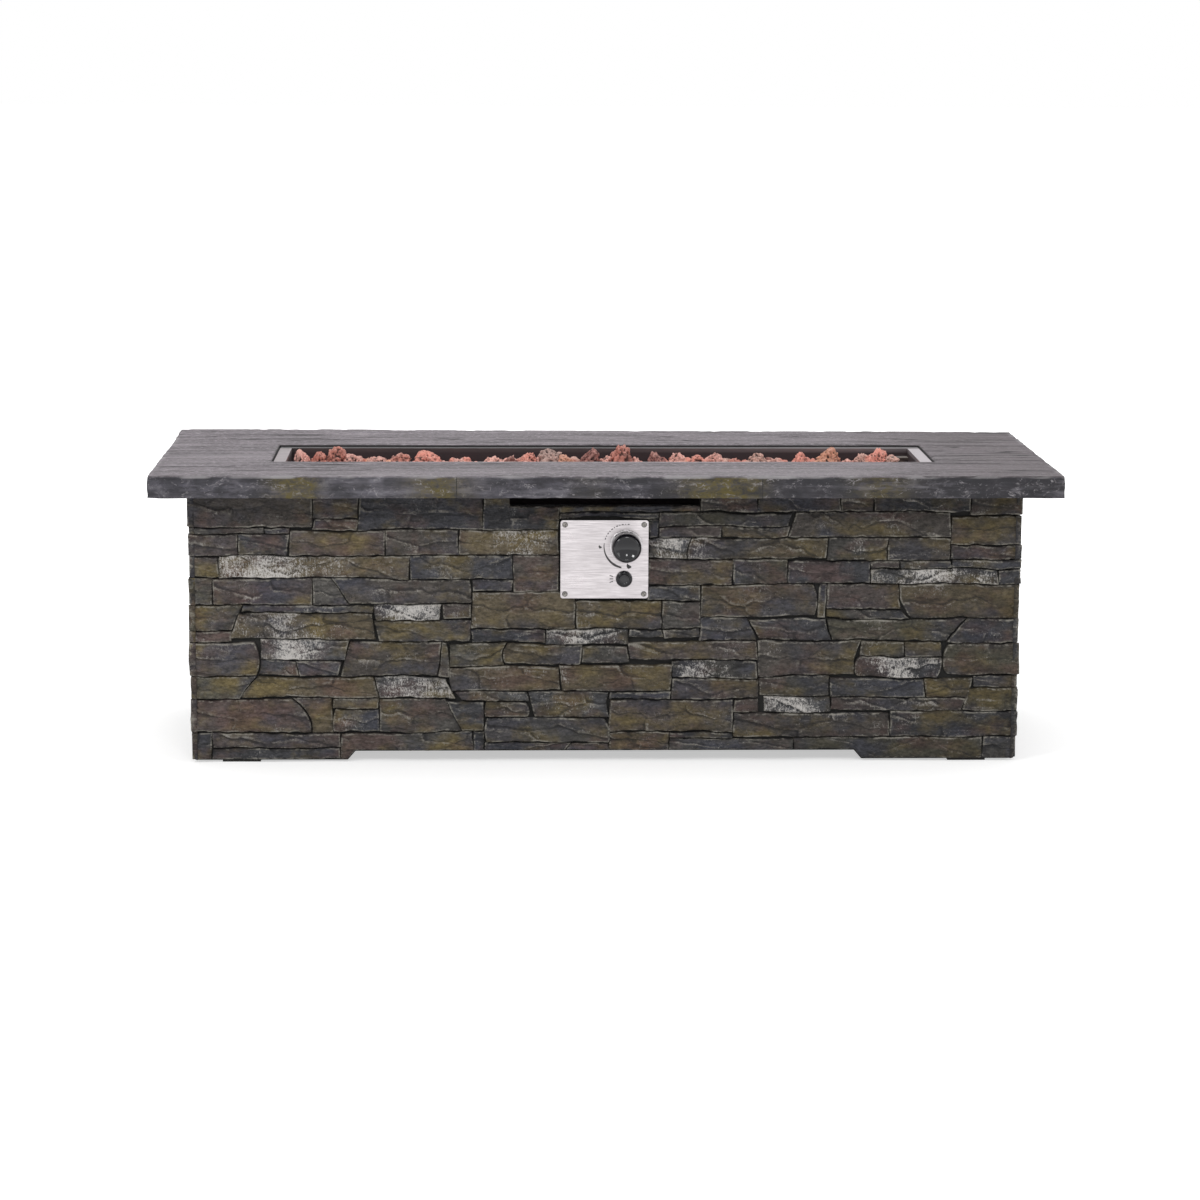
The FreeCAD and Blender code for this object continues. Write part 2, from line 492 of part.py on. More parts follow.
def make_top_brackets():
    """Steel angles in the casing's upper corners, each with a bolt up and a bolt out."""
    angles = []
    bolts = []
    for i, (x, side) in enumerate(ANGLE_SPOTS):
        span = (f"{x} - angle_length / 2", f"{x} + angle_length / 2")
        wall = ROOM_HALF_WIDTH
        upright = (f"{wall} - angle_plate", wall)
        level = (f"{wall} - angle_leg", wall)
        if side == "-":
            upright = (f"-{wall}", f"-{wall} + angle_plate")
            level = (f"-{wall}", f"-{wall} + angle_leg")
        leg = box(f"angle_{i}_upright", [span, upright, (f"{SLAB_UNDER} - angle_leg", SLAB_UNDER)])
        shelf = box(f"angle_{i}_shelf", [span, level, (f"{SLAB_UNDER} - angle_plate", SLAB_UNDER)])
        out = f"{side}y".lstrip("+")
        inner = f"{side}1 * ({wall} - angle_plate)"
        under = f"{SLAB_UNDER} - angle_plate"
        drills = [rod(f"angle_{i}_side_hole", "bolt_radius + thread_gap", "angle_plate + 2",
                      (x, f"{side}1 * ({wall} - angle_plate - 1)", WALL_BOLT_Z), out),
                  rod(f"angle_{i}_top_hole", "bolt_radius + thread_gap", "angle_plate + 2",
                      (x, f"{side}1 * {SLAB_BOLT_Y}", f"{under} - 1"))]
        angles.append(cut(f"angle_{i}", fuse(f"angle_{i}_bent", [leg, shelf]), drills))
        reach = "angle_plate + bolt_depth - 1"
        back = {"y": "-y", "-y": "y"}[out]
        bolts.append(fuse(f"wall_bolt_{i}", [
            rod(f"wall_bolt_{i}_shank", "bolt_radius", reach, (x, inner, WALL_BOLT_Z), out),
            hexagon(f"wall_bolt_{i}_head", "bolt_head_radius", "bolt_head_height",
                    (x, inner, WALL_BOLT_Z), back)]))
        bolts.append(fuse(f"slab_bolt_{i}", [
            rod(f"slab_bolt_{i}_shank", "bolt_radius", reach, (x, f"{side}1 * {SLAB_BOLT_Y}", under)),
            hexagon(f"slab_bolt_{i}_head", "bolt_head_radius", "bolt_head_height",
                    (x, f"{side}1 * {SLAB_BOLT_Y}", under), "-z")]))
    keep(group("top_brackets", angles), "top_brackets")
    keep(group("bracket_bolts", bolts), "bracket_bolts")


def make_burner_pan():
    """Folded stainless tray with a flat flange that hangs in the slab's rebate."""
    outer_x = f"({PAN_HALF_LENGTH} + pan_wall)"
    outer_y = f"({PAN_HALF_WIDTH} + pan_wall)"
    rim_x = f"({CUT_HALF_LENGTH} - pan_gap)"
    rim_y = f"({CUT_HALF_WIDTH} - pan_gap)"
    tray = box("tray", [(f"-{outer_x}", outer_x), (f"-{outer_y}", outer_y), (PAN_UNDER, FLANGE_TOP)])
    flange = box("tray_flange", [(f"-{rim_x}", rim_x), (f"-{rim_y}", rim_y),
                                 ("table_height - rebate_depth", FLANGE_TOP)])
    hollow = box("tray_hollow", [(f"-{PAN_HALF_LENGTH}", PAN_HALF_LENGTH),
                                 (f"-{PAN_HALF_WIDTH}", PAN_HALF_WIDTH), (PAN_FLOOR, "table_height")])
    drills = [rod("stub_hole", "stub_radius + thread_gap", "pan_wall + 2", ("0", "0", f"{PAN_UNDER} - 1")),
              rod("electrode_hole", "electrode_radius + thread_gap", "pan_wall + 2",
                  (ELECTRODE[0], ELECTRODE[1], f"{PAN_UNDER} - 1")),
              rod("probe_hole", "probe_radius + thread_gap", "pan_wall + 2",
                  (PROBE[0], PROBE[1], f"{PAN_UNDER} - 1"))]
    keep(cut("burner_pan", fuse("tray_with_flange", [tray, flange]), [hollow] + drills), "burner_pan")


def make_burner():
    """Drilled tube with closed ends, its stub through the pan floor, nut, air mixer and jet."""
    centre = f"({PAN_FLOOR} + tube_rise)"
    start = "-tube_length / 2"
    tube = rod("tube_outside", "tube_radius", "tube_length", (start, "0", centre), "x")
    stub = rod("stub", "stub_radius", "stub_length", ("0", "0", f"{centre} - stub_length"))
    shoulder = rod("stub_shoulder", "shoulder_radius", "tube_rise - tube_radius / 2", ("0", "0", PAN_FLOOR))
    bore = rod("tube_bore", "tube_radius - tube_wall", "tube_length - 2 * tube_wall",
               (f"{start} + tube_wall", "0", centre), "x")
    stub_bore = rod("stub_bore", "stub_radius - 2 * tube_wall", "stub_length + 1",
                    ("0", "0", f"{centre} - stub_length - 1"))
    count = int((size("tube_length") / 2 - size("port_pitch") / 2) / size("port_pitch"))
    ports = [rod(f"port_{i}", "port_hole_radius", "tube_radius + 1", (f"{i} * port_pitch", "0", centre))
             for i in range(-count, count + 1)]
    keep(cut("burner_tube", fuse("tube_and_stub", [tube, shoulder, stub]),
             [fuse("burner_hollow", [bore, stub_bore] + ports)]), "burner_tube")

    nut = hexagon("burner_nut_blank", "stub_nut_radius", "stub_nut_height",
                  ("0", "0", f"{PAN_UNDER} - stub_nut_height"))
    nut_bore = rod("burner_nut_bore", "stub_radius + thread_gap", "stub_nut_height",
                   ("0", "0", f"{PAN_UNDER} - stub_nut_height"))
    keep(cut("burner_nut", nut, [nut_bore]), "burner_nut")

    foot = f"({MIXER_TOP} - mixer_length)"
    sleeve = rod("mixer_outside", "stub_radius + thread_gap + mixer_wall", "mixer_length", ("0", "0", foot))
    sleeve_bore = rod("mixer_bore", "stub_radius + thread_gap", "mixer_length + 2", ("0", "0", f"{foot} - 1"))
    air_z = f"{foot} + mixer_length / 3"
    across = rod("air_holes_x", "mixer_hole_radius", "4 * stub_radius", ("-2 * stub_radius", "0", air_z), "x")
    along = rod("air_holes_y", "mixer_hole_radius", "4 * stub_radius", ("0", "-2 * stub_radius", air_z), "y")
    keep(cut("air_mixer", sleeve, [fuse("mixer_openings", [sleeve_bore, across, along])]), "air_mixer")

    plug = rod("jet_plug", "stub_radius", "orifice_height / 2", ("0", "0", foot))
    head = hexagon("jet_head", "jet_head_radius", "orifice_height / 2",
                   ("0", "0", f"{foot} - orifice_height / 2"))
    jet = rod("jet_hole", "port_hole_radius", "orifice_height + 2",
              ("0", "0", f"{foot} - orifice_height / 2 - 1"))
    keep(cut("gas_orifice", fuse("jet_blank", [plug, head]), [jet]), "gas_orifice")


def make_pilot():
    """Sheet hood over the spark electrode and the flame sensor at the right end of the pan."""
    low_x = "hood_x - hood_length / 2"
    high_x = "hood_x + hood_length / 2"
    roof = f"{PAN_FLOOR} + hood_height"
    outside = box("hood_outside", [(low_x, high_x), ("-hood_width / 2", "hood_width / 2"),
                                   (PAN_FLOOR, roof)])
    inside = box("hood_inside", [(f"{low_x} - 1", f"{high_x} - hood_plate"),
                                 ("-hood_width / 2 + hood_plate", "hood_width / 2 - hood_plate"),
                                 (f"{PAN_FLOOR} - 1", f"{roof} - hood_plate")])
    keep(cut("pilot_hood", outside, [inside]), "pilot_hood")

    foot = f"({PAN_UNDER} - lead_drop)"
    body = rod("electrode_body", "electrode_radius", "electrode_length", (ELECTRODE[0], ELECTRODE[1], foot))
    flange = rod("electrode_flange", "electrode_radius + seal_step", "seal_height",
                 (ELECTRODE[0], ELECTRODE[1], PAN_FLOOR))
    tip = rod("electrode_tip_rod", "electrode_wire", "electrode_length + electrode_tip",
              (ELECTRODE[0], ELECTRODE[1], foot))
    keep(fuse("spark_electrode", [body, flange, tip]), "spark_electrode")

    probe = rod("probe_body", "probe_radius", "probe_length", (PROBE[0], PROBE[1], foot))
    probe_flange = rod("probe_flange", "probe_radius + seal_step", "seal_height",
                       (PROBE[0], PROBE[1], PAN_FLOOR))
    keep(fuse("thermocouple", [probe, probe_flange]), "thermocouple")


def make_lava_bed():
    """The rock under the top layer as one block, hollow round the burner and the pilot."""
    half_x = f"({PAN_HALF_LENGTH} - bed_gap)"
    half_y = f"({PAN_HALF_WIDTH} - bed_gap)"
    block = box("bed_block", [(f"-{half_x}", half_x), (f"-{half_y}", half_y),
                              (PAN_FLOOR, f"{PAN_FLOOR} + bed_height")])
    tube_half = "(tube_length / 2 + bed_gap)"
    tunnel = box("bed_tunnel", [(f"-{tube_half}", tube_half),
                                ("-tube_radius - bed_gap", "tube_radius + bed_gap"),
                                (PAN_FLOOR, f"{PAN_FLOOR} + tube_rise + tube_radius + bed_gap")])
    hub = rod("bed_hub", "shoulder_radius + bed_gap", "tube_rise", ("0", "0", PAN_FLOOR))
    well = box("bed_well", [("hood_x - hood_length / 2 - bed_gap", "hood_x + hood_length / 2 + bed_gap"),
                            ("-hood_width / 2 - bed_gap", "hood_width / 2 + bed_gap"),
                            (PAN_FLOOR, "table_height")])
    keep(cut("lava_bed", block, [fuse("bed_hollow", [tunnel, hub, well])]), "lava_bed")


# Top rocks that show, drawn for a pan 1020 long, from the left end: middle along X, width along X,
# and top height above the slab's surface. They lie along the pan's middle.
PAN_DRAWN = 1020
MIDDLE_ROCKS = [
    (-489, 40, 10), (-445, 40, 5), (-405, 44, 12), (-368, 38, 3), (-326, 42, 1), (-285, 40, 4),
    (-240, 46, 8), (-196, 36, -9), (-158, 36, -4), (-124, 36, 4), (-90, 36, 4), (-46, 54, 14),
    (-6, 36, 6), (34, 42, 16), (74, 34, -3), (112, 40, 6), (152, 40, 6), (196, 44, 2),
    (240, 42, 0), (282, 40, 6), (322, 38, -3), (362, 42, 7), (408, 52, 14), (451, 38, 3),
]
# How high the rocks of the front and rear rows rise above the bed, in turn along X.
SIDE_ROCK_RISES = [14, 9, 17, 11, 15, 8, 13]


def make_rock(centre, half_length, half_width, foot, head, turn):
    """One rough stone: a ruled loft through three uneven eight-sided rings, flat at the foot."""
    rings = []
    for level, (height, share) in enumerate([(0, 0.82), (0.42, 1), (0.8, 0.86), (1, 0.45)]):
        corners = []
        for i in range(8):
            angle = 2 * math.pi * (i + 0.5) / 8
            uneven = 1 - 0.13 * abs(math.sin(1.7 * i + turn + 0.9 * level))
            corners.append(FreeCAD.Vector(centre[0] + half_length * share * uneven * math.cos(angle),
                                          centre[1] + half_width * share * uneven * math.sin(angle),
                                          foot + (head - foot) * height))
        rings.append(Part.makePolygon(corners + corners[:1]))
    return Part.makeLoft(rings, True, True)


def make_lava_rocks():
    """Loose lava rock on the bed, in three rows, each rock a solid of its own."""
    foot = (size("table_height") - size("rebate_depth") - size("pan_depth") + size("pan_wall")
            + size("bed_height"))
    border = size("slab_border") + size("pan_gap") + size("pan_flange")
    pan_half_length = size("table_length") / 2 - border
    pan_half_width = size("table_width") / 2 - border
    reach_x = 2 * pan_half_length / PAN_DRAWN
    rocks = []
    row_half = pan_half_width / 3 - size("rock_gap")
    for turn, (x, width, rise) in enumerate(MIDDLE_ROCKS):
        spot = (x * reach_x, (turn % 3 - 1) * size("rock_wander"))
        rocks.append(make_rock(spot, width * reach_x / 2 - size("bed_gap"), row_half - size("rock_wander"),
                               foot, size("table_height") + rise, turn))
    pitch = size("rock_pitch")
    count = int((2 * pan_half_length - pitch / 4) / pitch)
    for side in (-1, 1):
        for i in range(count):
            x = (i - (count - 1) / 2) * pitch
            rise = SIDE_ROCK_RISES[(i + 3 * (side > 0)) % len(SIDE_ROCK_RISES)]
            rocks.append(make_rock((x, side * pan_half_width * 2 / 3), pitch / 2 - size("rock_gap"), row_half,
                                   foot, foot + rise + size("front_rise") * (side < 0), i + 5 * side))
    stones = doc.addObject("Part::Feature", "loose_rocks")
    stones.Shape = Part.makeCompound(rocks)
    keep(stones, "lava_rocks")


def make_control_panel():
    """Brushed stainless plate with rounded corners, drilled for knob, igniter and screws, and its
    four screws with cross recesses."""
    plate = box("panel_blank", [("panel_x - panel_width / 2", "panel_x + panel_width / 2"),
                                (PANEL_FRONT, PANEL_BACK),
                                ("panel_z - panel_height / 2", "panel_z + panel_height / 2")])
    plate.recompute()
    rounded = doc.addObject("Part::Fillet", "panel_rounded")
    rounded.Base = plate
    rounded.Edges = [(i, size("panel_corner"), size("panel_corner"))
                     for i, edge in enumerate(plate.Shape.Edges, 1)
                     if abs(edge.Length - size("panel_plate")) < 0.001]
    depth = "panel_plate + 2"
    front = f"{PANEL_FRONT} - 1"
    drills = [rod("panel_knob_hole", "stem_hole_radius", depth, (KNOB_X, front, KNOB_Z), "y"),
              rod("panel_igniter_hole", "igniter_radius + thread_gap", depth,
                  (BUTTON_X, front, BUTTON_Z), "y")]
    drills += [rod(f"panel_screw_hole_{i}", "screw_radius + thread_gap", depth, (x, front, z), "y")
               for i, (x, z) in enumerate(PANEL_CORNERS)]
    keep(cut("control_panel", rounded, drills), "control_panel")

    screws = []
    for i, (x, z) in enumerate(PANEL_CORNERS):
        head_front = f"{PANEL_FRONT} - screw_head_height"
        head = rod(f"screw_{i}_head", "screw_head_radius", "screw_head_height", (x, head_front, z), "y")
        shank = rod(f"screw_{i}_shank", "screw_radius", "screw_length", (x, PANEL_FRONT, z), "y")
        deep = (head_front, f"{head_front} + screw_head_height / 2")
        slots = [box(f"screw_{i}_slot_{wide}", [(f"{x} - {wide} / 2", f"{x} + {wide} / 2"), deep,
                                                (f"{z} - {tall} / 2", f"{z} + {tall} / 2")])
                 for wide, tall in (("screw_slot", "screw_slot_length"), ("screw_slot_length", "screw_slot"))]
        screws.append(cut(f"screw_{i}", fuse(f"screw_{i}_blank", [head, shank]),
                          [fuse(f"screw_{i}_cross", slots)]))
    keep(group("panel_screws", screws), "panel_screws")


def make_knob():
    """Bezel on the panel, domed knob with a stem socket, and the stem that it turns."""
    bezel = ring("knob_bezel", "bezel_radius", "bezel_bore", "bezel_height",
                 (KNOB_X, f"{PANEL_FRONT} - bezel_height", KNOB_Z), "y")
    keep(bezel, "knob_bezel")

    skirt = rod("knob_skirt", "knob_radius", "knob_height / 4", (KNOB_X, KNOB_BACK, KNOB_Z), "-y")
    dome = doc.addObject("Part::Ellipsoid", "knob_dome")
    dome.Placement = FreeCAD.Placement(FreeCAD.Vector(), TURNS["-y"])
    dome.Angle1 = 0
    dome.setExpression("Radius1", "sizes.knob_height * 3 / 4")
    dome.setExpression("Radius2", "sizes.knob_radius")
    dome.setExpression("Radius3", "sizes.knob_radius")
    move(dome, (KNOB_X, f"{KNOB_BACK} - knob_height / 4", KNOB_Z))
    socket = rod("knob_socket", "stem_radius", "knob_height / 2", (KNOB_X, KNOB_BACK, KNOB_Z), "-y")
    keep(cut("control_knob", fuse("knob_blank", [skirt, dome]), [socket]), "control_knob")

    stem_length = f"{VALVE_FRONT} + stem_reach - ({KNOB_BACK}) + knob_height / 2"
    keep(rod("valve_stem", "stem_radius", stem_length,
             (KNOB_X, f"{KNOB_BACK} - knob_height / 2", KNOB_Z), "y"), "valve_stem")


def knob_x():
    """The knob's axis along X, in millimetres."""
    return size("panel_x") + size("knob_dx")


def knob_z():
    """The knob's axis above the floor, in millimetres."""
    return size("panel_z") + size("knob_dz")


def button_x():
    """The igniter's axis along X, in millimetres."""
    return size("panel_x") + size("button_dx")


def button_z():
    """The igniter's axis above the floor, in millimetres."""
    return size("panel_z") + size("button_dz")


def make_coil(name, label, at, radius, length):
    """A compression spring along Y with its ends on its two seats: a helix of wire, whose eight-sided
    section has the round one's area."""
    wire = size("spring_wire")
    turns = size("spring_turns")
    rise = length - wire
    helix = Part.makeHelix(rise / turns, rise, radius)
    eighth = math.pi / 4
    reach = wire / 2 * math.sqrt(math.pi / (4 * math.sin(eighth)))
    corners = [FreeCAD.Vector(radius + reach * math.cos((i + 0.5) * eighth), 0,
                              reach * math.sin((i + 0.5) * eighth)) for i in range(8)]
    coil = doc.addObject("Part::Feature", name)
    coil.Shape = Part.Wire(helix.Edges).makePipeShell([Part.makePolygon(corners + corners[:1])], True, True)
    coil.Placement = FreeCAD.Placement(FreeCAD.Vector(at[0], at[1] + wire / 2, at[2]), TURNS["y"])
    keep(coil, label)


def make_valve():
    """Bracket behind the panel, gas valve with three ports, plunger and its return spring."""
    low_x = f"{KNOB_X} - bracket_width / 2"
    high_x = f"{KNOB_X} + bracket_width / 2"
    low_z = f"{KNOB_Z} - bracket_height / 2"
    high_z = f"{KNOB_Z} + bracket_height / 2"
    channel = box("bracket_blank", [(low_x, high_x), (PANEL_BACK, VALVE_FRONT), (low_z, high_z)])
    inside = box("bracket_inside", [(f"{low_x} - 1", f"{high_x} + 1"),
                                    (PANEL_BACK, f"{VALVE_FRONT} - bracket_plate"),
                                    (f"{low_z} + bracket_plate", f"{high_z} - bracket_plate")])
    hole = rod("bracket_hole", "bracket_hole_radius", "bracket_plate + 2",
               (KNOB_X, f"{VALVE_FRONT} - bracket_plate - 1", KNOB_Z), "y")
    keep(cut("valve_bracket", channel, [fuse("bracket_opening", [inside, hole])]), "valve_bracket")

    half = "valve_width / 2"
    block = box("valve_block", [(f"{KNOB_X} - {half}", f"{KNOB_X} + {half}"),
                                (VALVE_FRONT, f"{VALVE_FRONT} + valve_length"),
                                (f"{KNOB_Z} - {half}", f"{KNOB_Z} + {half}")])
    outlet = rod("valve_outlet", "port_radius", "port_length + 1",
                 (KNOB_X, f"{VALVE_FRONT} + valve_length - 1", KNOB_Z), "y")
    inlet = rod("valve_inlet", "port_radius", "port_length + 1",
                (f"{KNOB_X} + {half} - 1", VALVE_INLET_Y, KNOB_Z), "x")
    sensor = rod("valve_sensor_port", "port_radius / 2", "port_length + 1",
                 (f"{KNOB_X} - {half} + 1", VALVE_INLET_Y, KNOB_Z), "-x")
    bore = rod("valve_bore", "plunger_radius + shaft_gap", "valve_bore_depth",
               (KNOB_X, VALVE_FRONT, KNOB_Z), "y")
    keep(cut("valve_body", fuse("valve_blank", [block, outlet, inlet, sensor]), [bore]), "valve_body")

    keep(ring("plunger", "plunger_radius", "stem_radius + shaft_gap", "plunger_length",
              (KNOB_X, f"{VALVE_FRONT} + running_gap", KNOB_Z), "y"), "valve_plunger")
    seat = size("running_gap") + size("plunger_length")
    front = -size("table_width") / 2 + size("overhang") + size("bracket_depth")
    make_coil("valve_coil", "valve_spring", (knob_x(), front + seat, knob_z()),
              (size("stem_radius") + size("plunger_radius")) / 2 + size("shaft_gap"),
              size("valve_bore_depth") - seat)


def make_igniter():
    """Push-button spark unit: barrel through the panel, nut, collar, button, spring and battery."""
    barrel = rod("barrel", "igniter_radius", "igniter_length", (BUTTON_X, PANEL_FRONT, BUTTON_Z), "y")
    bore = rod("barrel_bore", "igniter_radius - igniter_wall", "igniter_length - igniter_wall",
               (BUTTON_X, PANEL_FRONT, BUTTON_Z), "y")
    keep(cut("igniter_barrel", barrel, [bore]), "igniter_body")

    nut = hexagon("igniter_nut_blank", "nut_radius", "nut_height", (BUTTON_X, PANEL_BACK, BUTTON_Z), "y")
    nut_bore = rod("igniter_nut_bore", "igniter_radius + thread_gap", "nut_height",
                   (BUTTON_X, PANEL_BACK, BUTTON_Z), "y")
    keep(cut("igniter_nut", nut, [nut_bore]), "igniter_nut")

    keep(ring("collar", "collar_radius", "button_radius + shaft_gap", "collar_height",
              (BUTTON_X, f"{PANEL_FRONT} - collar_height", BUTTON_Z), "y"), "igniter_collar")

    cap = rod("button_cap", "button_radius", "button_height + collar_height + button_shank",
              (BUTTON_X, f"{PANEL_FRONT} - collar_height - button_height", BUTTON_Z), "y")
    lip = rod("button_lip", "igniter_radius - igniter_wall - shaft_gap", "button_shank / 3",
              (BUTTON_X, f"{PANEL_FRONT} + running_gap", BUTTON_Z), "y")
    keep(fuse("button", [cap, lip]), "igniter_button")

    back = f"{PANEL_FRONT} + igniter_length - igniter_wall"
    keep(rod("battery", "battery_radius", "battery_length",
             (BUTTON_X, f"{back} - battery_length", BUTTON_Z), "y"), "igniter_battery")
    front = -size("table_width") / 2 + size("overhang") - size("panel_plate")
    room = size("igniter_length") - size("igniter_wall") - size("battery_length") - size("button_shank")
    make_coil("igniter_coil", "igniter_spring", (button_x(), front + size("button_shank"), button_z()),
              size("battery_radius") - size("spring_wire"), room)


def route(points):
    """Straight runs joined by tangent arcs, and the smallest arc's radius. Each arc takes 0.45 of
    the shorter run beside it."""
    edges = []
    radii = []
    start = points[0]
    for before, corner, after in zip(points, points[1:], points[2:]):
        back = before - corner
        ahead = after - corner
        turn = math.pi - back.getAngle(ahead)
        taken = 0.45 * min(back.Length, ahead.Length)
        radii.append(taken / math.tan(turn / 2))
        back.normalize()
        ahead.normalize()
        first = corner + back * taken
        last = corner + ahead * taken
        inward = back + ahead
        inward.normalize()
        middle = corner + inward * (radii[-1] / math.cos(turn / 2) - radii[-1])
        edges.append(Part.LineSegment(start, first).toShape())
        edges.append(Part.Arc(first, middle, last).toShape())
        start = last
    edges.append(Part.LineSegment(start, points[-1]).toShape())
    return Part.Wire(edges), min(radii)


def make_line(label, points, radius):
    """A round hose or lead along a route, with its volume set against section times length."""
    points = [FreeCAD.Vector(*point) for point in points]
    path, tightest = route(points)
    profile = Part.Wire([Part.makeCircle(radius, points[0], points[1] - points[0])])
    line = doc.addObject("Part::Feature", f"{label}_line")
    line.Shape = path.makePipeShell([profile], True, True)
    share = line.Shape.Volume / (math.pi * radius ** 2 * path.Length)
    print(label, "length", round(path.Length), "tightest arc", round(tightest, 1), "share", round(share, 4))
    keep(line, label)


def make_gas_lines():
    """Bulkhead inlet in the rear wall, its locknut, the hose to the valve and the one to the jet."""
    wall = f"({BASE_WIDTH} / 2)"
    inside = ROOM_HALF_WIDTH
    tail = f"{inside} - inlet_tail"
    shank = rod("inlet_shank", "inlet_radius", f"{wall} - ({tail})", ("0", tail, "inlet_z"), "y")
    hexagon_body = hexagon("inlet_hex", "inlet_hex_radius", "inlet_hex_height", ("0", wall, "inlet_z"), "y")
    thread = rod("inlet_thread", "inlet_thread_radius", "inlet_thread_length + inlet_hex_height",
                 ("0", wall, "inlet_z"), "y")
    through = f"{wall} - ({tail}) + inlet_hex_height + inlet_thread_length + 2"
    way = rod("inlet_way", "inlet_way_radius", through, ("0", f"{tail} - 1", "inlet_z"), "y")
    keep(cut("bulkhead", fuse("inlet_blank", [shank, hexagon_body, thread]), [way]), "gas_inlet")
    nut = hexagon("inlet_nut_blank", "inlet_hex_radius", "inlet_hex_height / 2",
                  ("0", f"{inside} - inlet_hex_height / 2", "inlet_z"), "y")
    nut_bore = rod("inlet_nut_bore", "inlet_radius + thread_gap", "inlet_hex_height",
                   ("0", f"{inside} - inlet_hex_height", "inlet_z"), "y")
    keep(cut("inlet_nut", nut, [nut_bore]), "inlet_locknut")

    half_width = size("table_width") / 2 - size("overhang")
    room = half_width - size("relief_high") - size("wall_thickness")
    valve_front = -half_width + size("bracket_depth")
    port_y = valve_front + size("valve_bore_depth") + size("port_radius")
    port_x = knob_x() + size("valve_width") / 2 + size("port_length")
    low = size("inlet_z")
    start_y = room - size("inlet_tail")
    make_line("inlet_hose", [
        (0, start_y, low), (0, start_y - 50, low), (4, start_y - 105, low + 6), (14, start_y - 165, low + 10),
        (30, start_y - 222, low + 7), (54, start_y - 275, low + 8), (82, port_y + 52, low + 22),
        (102, port_y + 16, low + 62), (110, port_y + 2, low + 118), (112, port_y, knob_z() - 108),
        (110, port_y, knob_z() - 50), (port_x + 46, port_y, knob_z() - 16), (port_x + 28, port_y, knob_z()),
        (port_x, port_y, knob_z())], size("hose_radius"))

    jet_z = (size("table_height") - size("rebate_depth") - size("pan_depth") - size("stub_nut_height")
             - size("mixer_length") - size("orifice_height") / 2)
    out_y = valve_front + size("valve_length") + size("port_length")
    x = knob_x()
    z = knob_z()
    make_line("burner_hose", [
        (x, out_y, z), (x, out_y + 32, z), (x, out_y + 55, z - 35), (x - 2, out_y + 62, z - 85),
        (x - 6, out_y + 76, z - 130), (x - 16, out_y + 108, z - 158), (6, -10, z - 156), (0, 0, jet_z - 70),
        (0, 0, jet_z)], size("hose_radius"))


def make_leads():
    """Spark lead and sensor capillary from the pilot, along the front wall in three clips."""
    drop = size("table_height") - size("rebate_depth") - size("pan_depth") - size("lead_drop")
    half_width = size("table_width") / 2 - size("overhang")
    clip_y = -(half_width - size("relief_high") - size("wall_thickness")) + size("lead_stand")
    spark_z = size("panel_z") - size("lead_fall")
    sensor_z = spark_z + size("lead_pitch")
    start_x = size("hood_x") - size("hood_length") / 4
    end_y = -half_width - size("panel_plate") + size("igniter_length")
    x = button_x()
    z = button_z()
    make_line("ignition_wire", [
        (start_x, size("hood_width") / 5, drop), (start_x, size("hood_width") / 5, drop - 25),
        (start_x - 7, -30, spark_z + 16), (start_x - 23, -90, spark_z + 6), (start_x - 41, -150, spark_z + 1),
        (start_x - 66, clip_y, spark_z), (x + 80, clip_y, spark_z), (x + 56, clip_y + 14, spark_z - 4),
        (x + 38, end_y + 12, spark_z - 10), (x + 24, end_y + 30, z + 3), (x + 8, end_y + 34, z),
        (x, end_y + 20, z), (x, end_y, z)], size("wire_radius"))

    probe_x = size("hood_x") + size("hood_length") / 6
    probe_y = -size("hood_width") / 5
    port_y = -half_width + size("bracket_depth") + size("valve_bore_depth") + size("port_radius")
    port_x = knob_x() - size("valve_width") / 2 - size("port_length")
    make_line("thermocouple_lead", [
        (probe_x, probe_y, drop), (probe_x, probe_y, drop - 28), (probe_x - 8, -42, sensor_z + 12),
        (probe_x - 26, -98, sensor_z + 5), (probe_x - 46, -155, sensor_z + 1),
        (probe_x - 72, clip_y, sensor_z), (port_x - 25, clip_y, sensor_z),
        (port_x - 43, clip_y + 4, sensor_z + 8), (port_x - 44, port_y - 4, knob_z() - 4),
        (port_x - 26, port_y, knob_z()), (port_x, port_y, knob_z())], size("capillary_radius"))

    wall = f"-{ROOM_HALF_WIDTH}"
    lead_y = f"{wall} + lead_stand"
    clips = []
    for i, share in enumerate((0.22, 0.5, 0.78)):
        x = f"panel_x + button_dx + {share} * (hood_x - panel_x - button_dx)"
        span = (f"{x} - clip_length / 2", f"{x} + clip_length / 2")
        block = box(f"clip_{i}_block", [span, (wall, f"{lead_y} + clip_thickness"),
                                        (f"{SPARK_Z} - clip_thickness",
                                         f"{SPARK_Z} + lead_pitch + clip_thickness")])
        spark_bore = rod(f"clip_{i}_spark_bore", "wire_radius + thread_gap", "clip_length + 2",
                         (f"{x} - clip_length / 2 - 1", lead_y, SPARK_Z), "x")
        sensor_bore = rod(f"clip_{i}_sensor_bore", "capillary_radius + thread_gap", "clip_length + 2",
                          (f"{x} - clip_length / 2 - 1", lead_y, f"{SPARK_Z} + lead_pitch"), "x")
        clips.append(cut(f"clip_{i}", block, [spark_bore, sensor_bore]))
    keep(group("lead_clips", clips), "lead_clips")


def make_heat_shield():
    """Folded plate on the front wall, over the valve and under the pan."""
    wall = f"-{ROOM_HALF_WIDTH}"
    span = (f"{KNOB_X} - shield_length / 2", f"{KNOB_X} + shield_length / 2")
    level = box("shield_level", [span, (wall, f"{wall} + shield_reach"),
                                 ("shield_z", "shield_z + shield_plate")])
    upright = box("shield_upright", [span, (wall, f"{wall} + shield_plate"),
                                     ("shield_z", "shield_z + shield_reach / 3")])
    keep(fuse("shield", [level, upright]), "heat_shield")


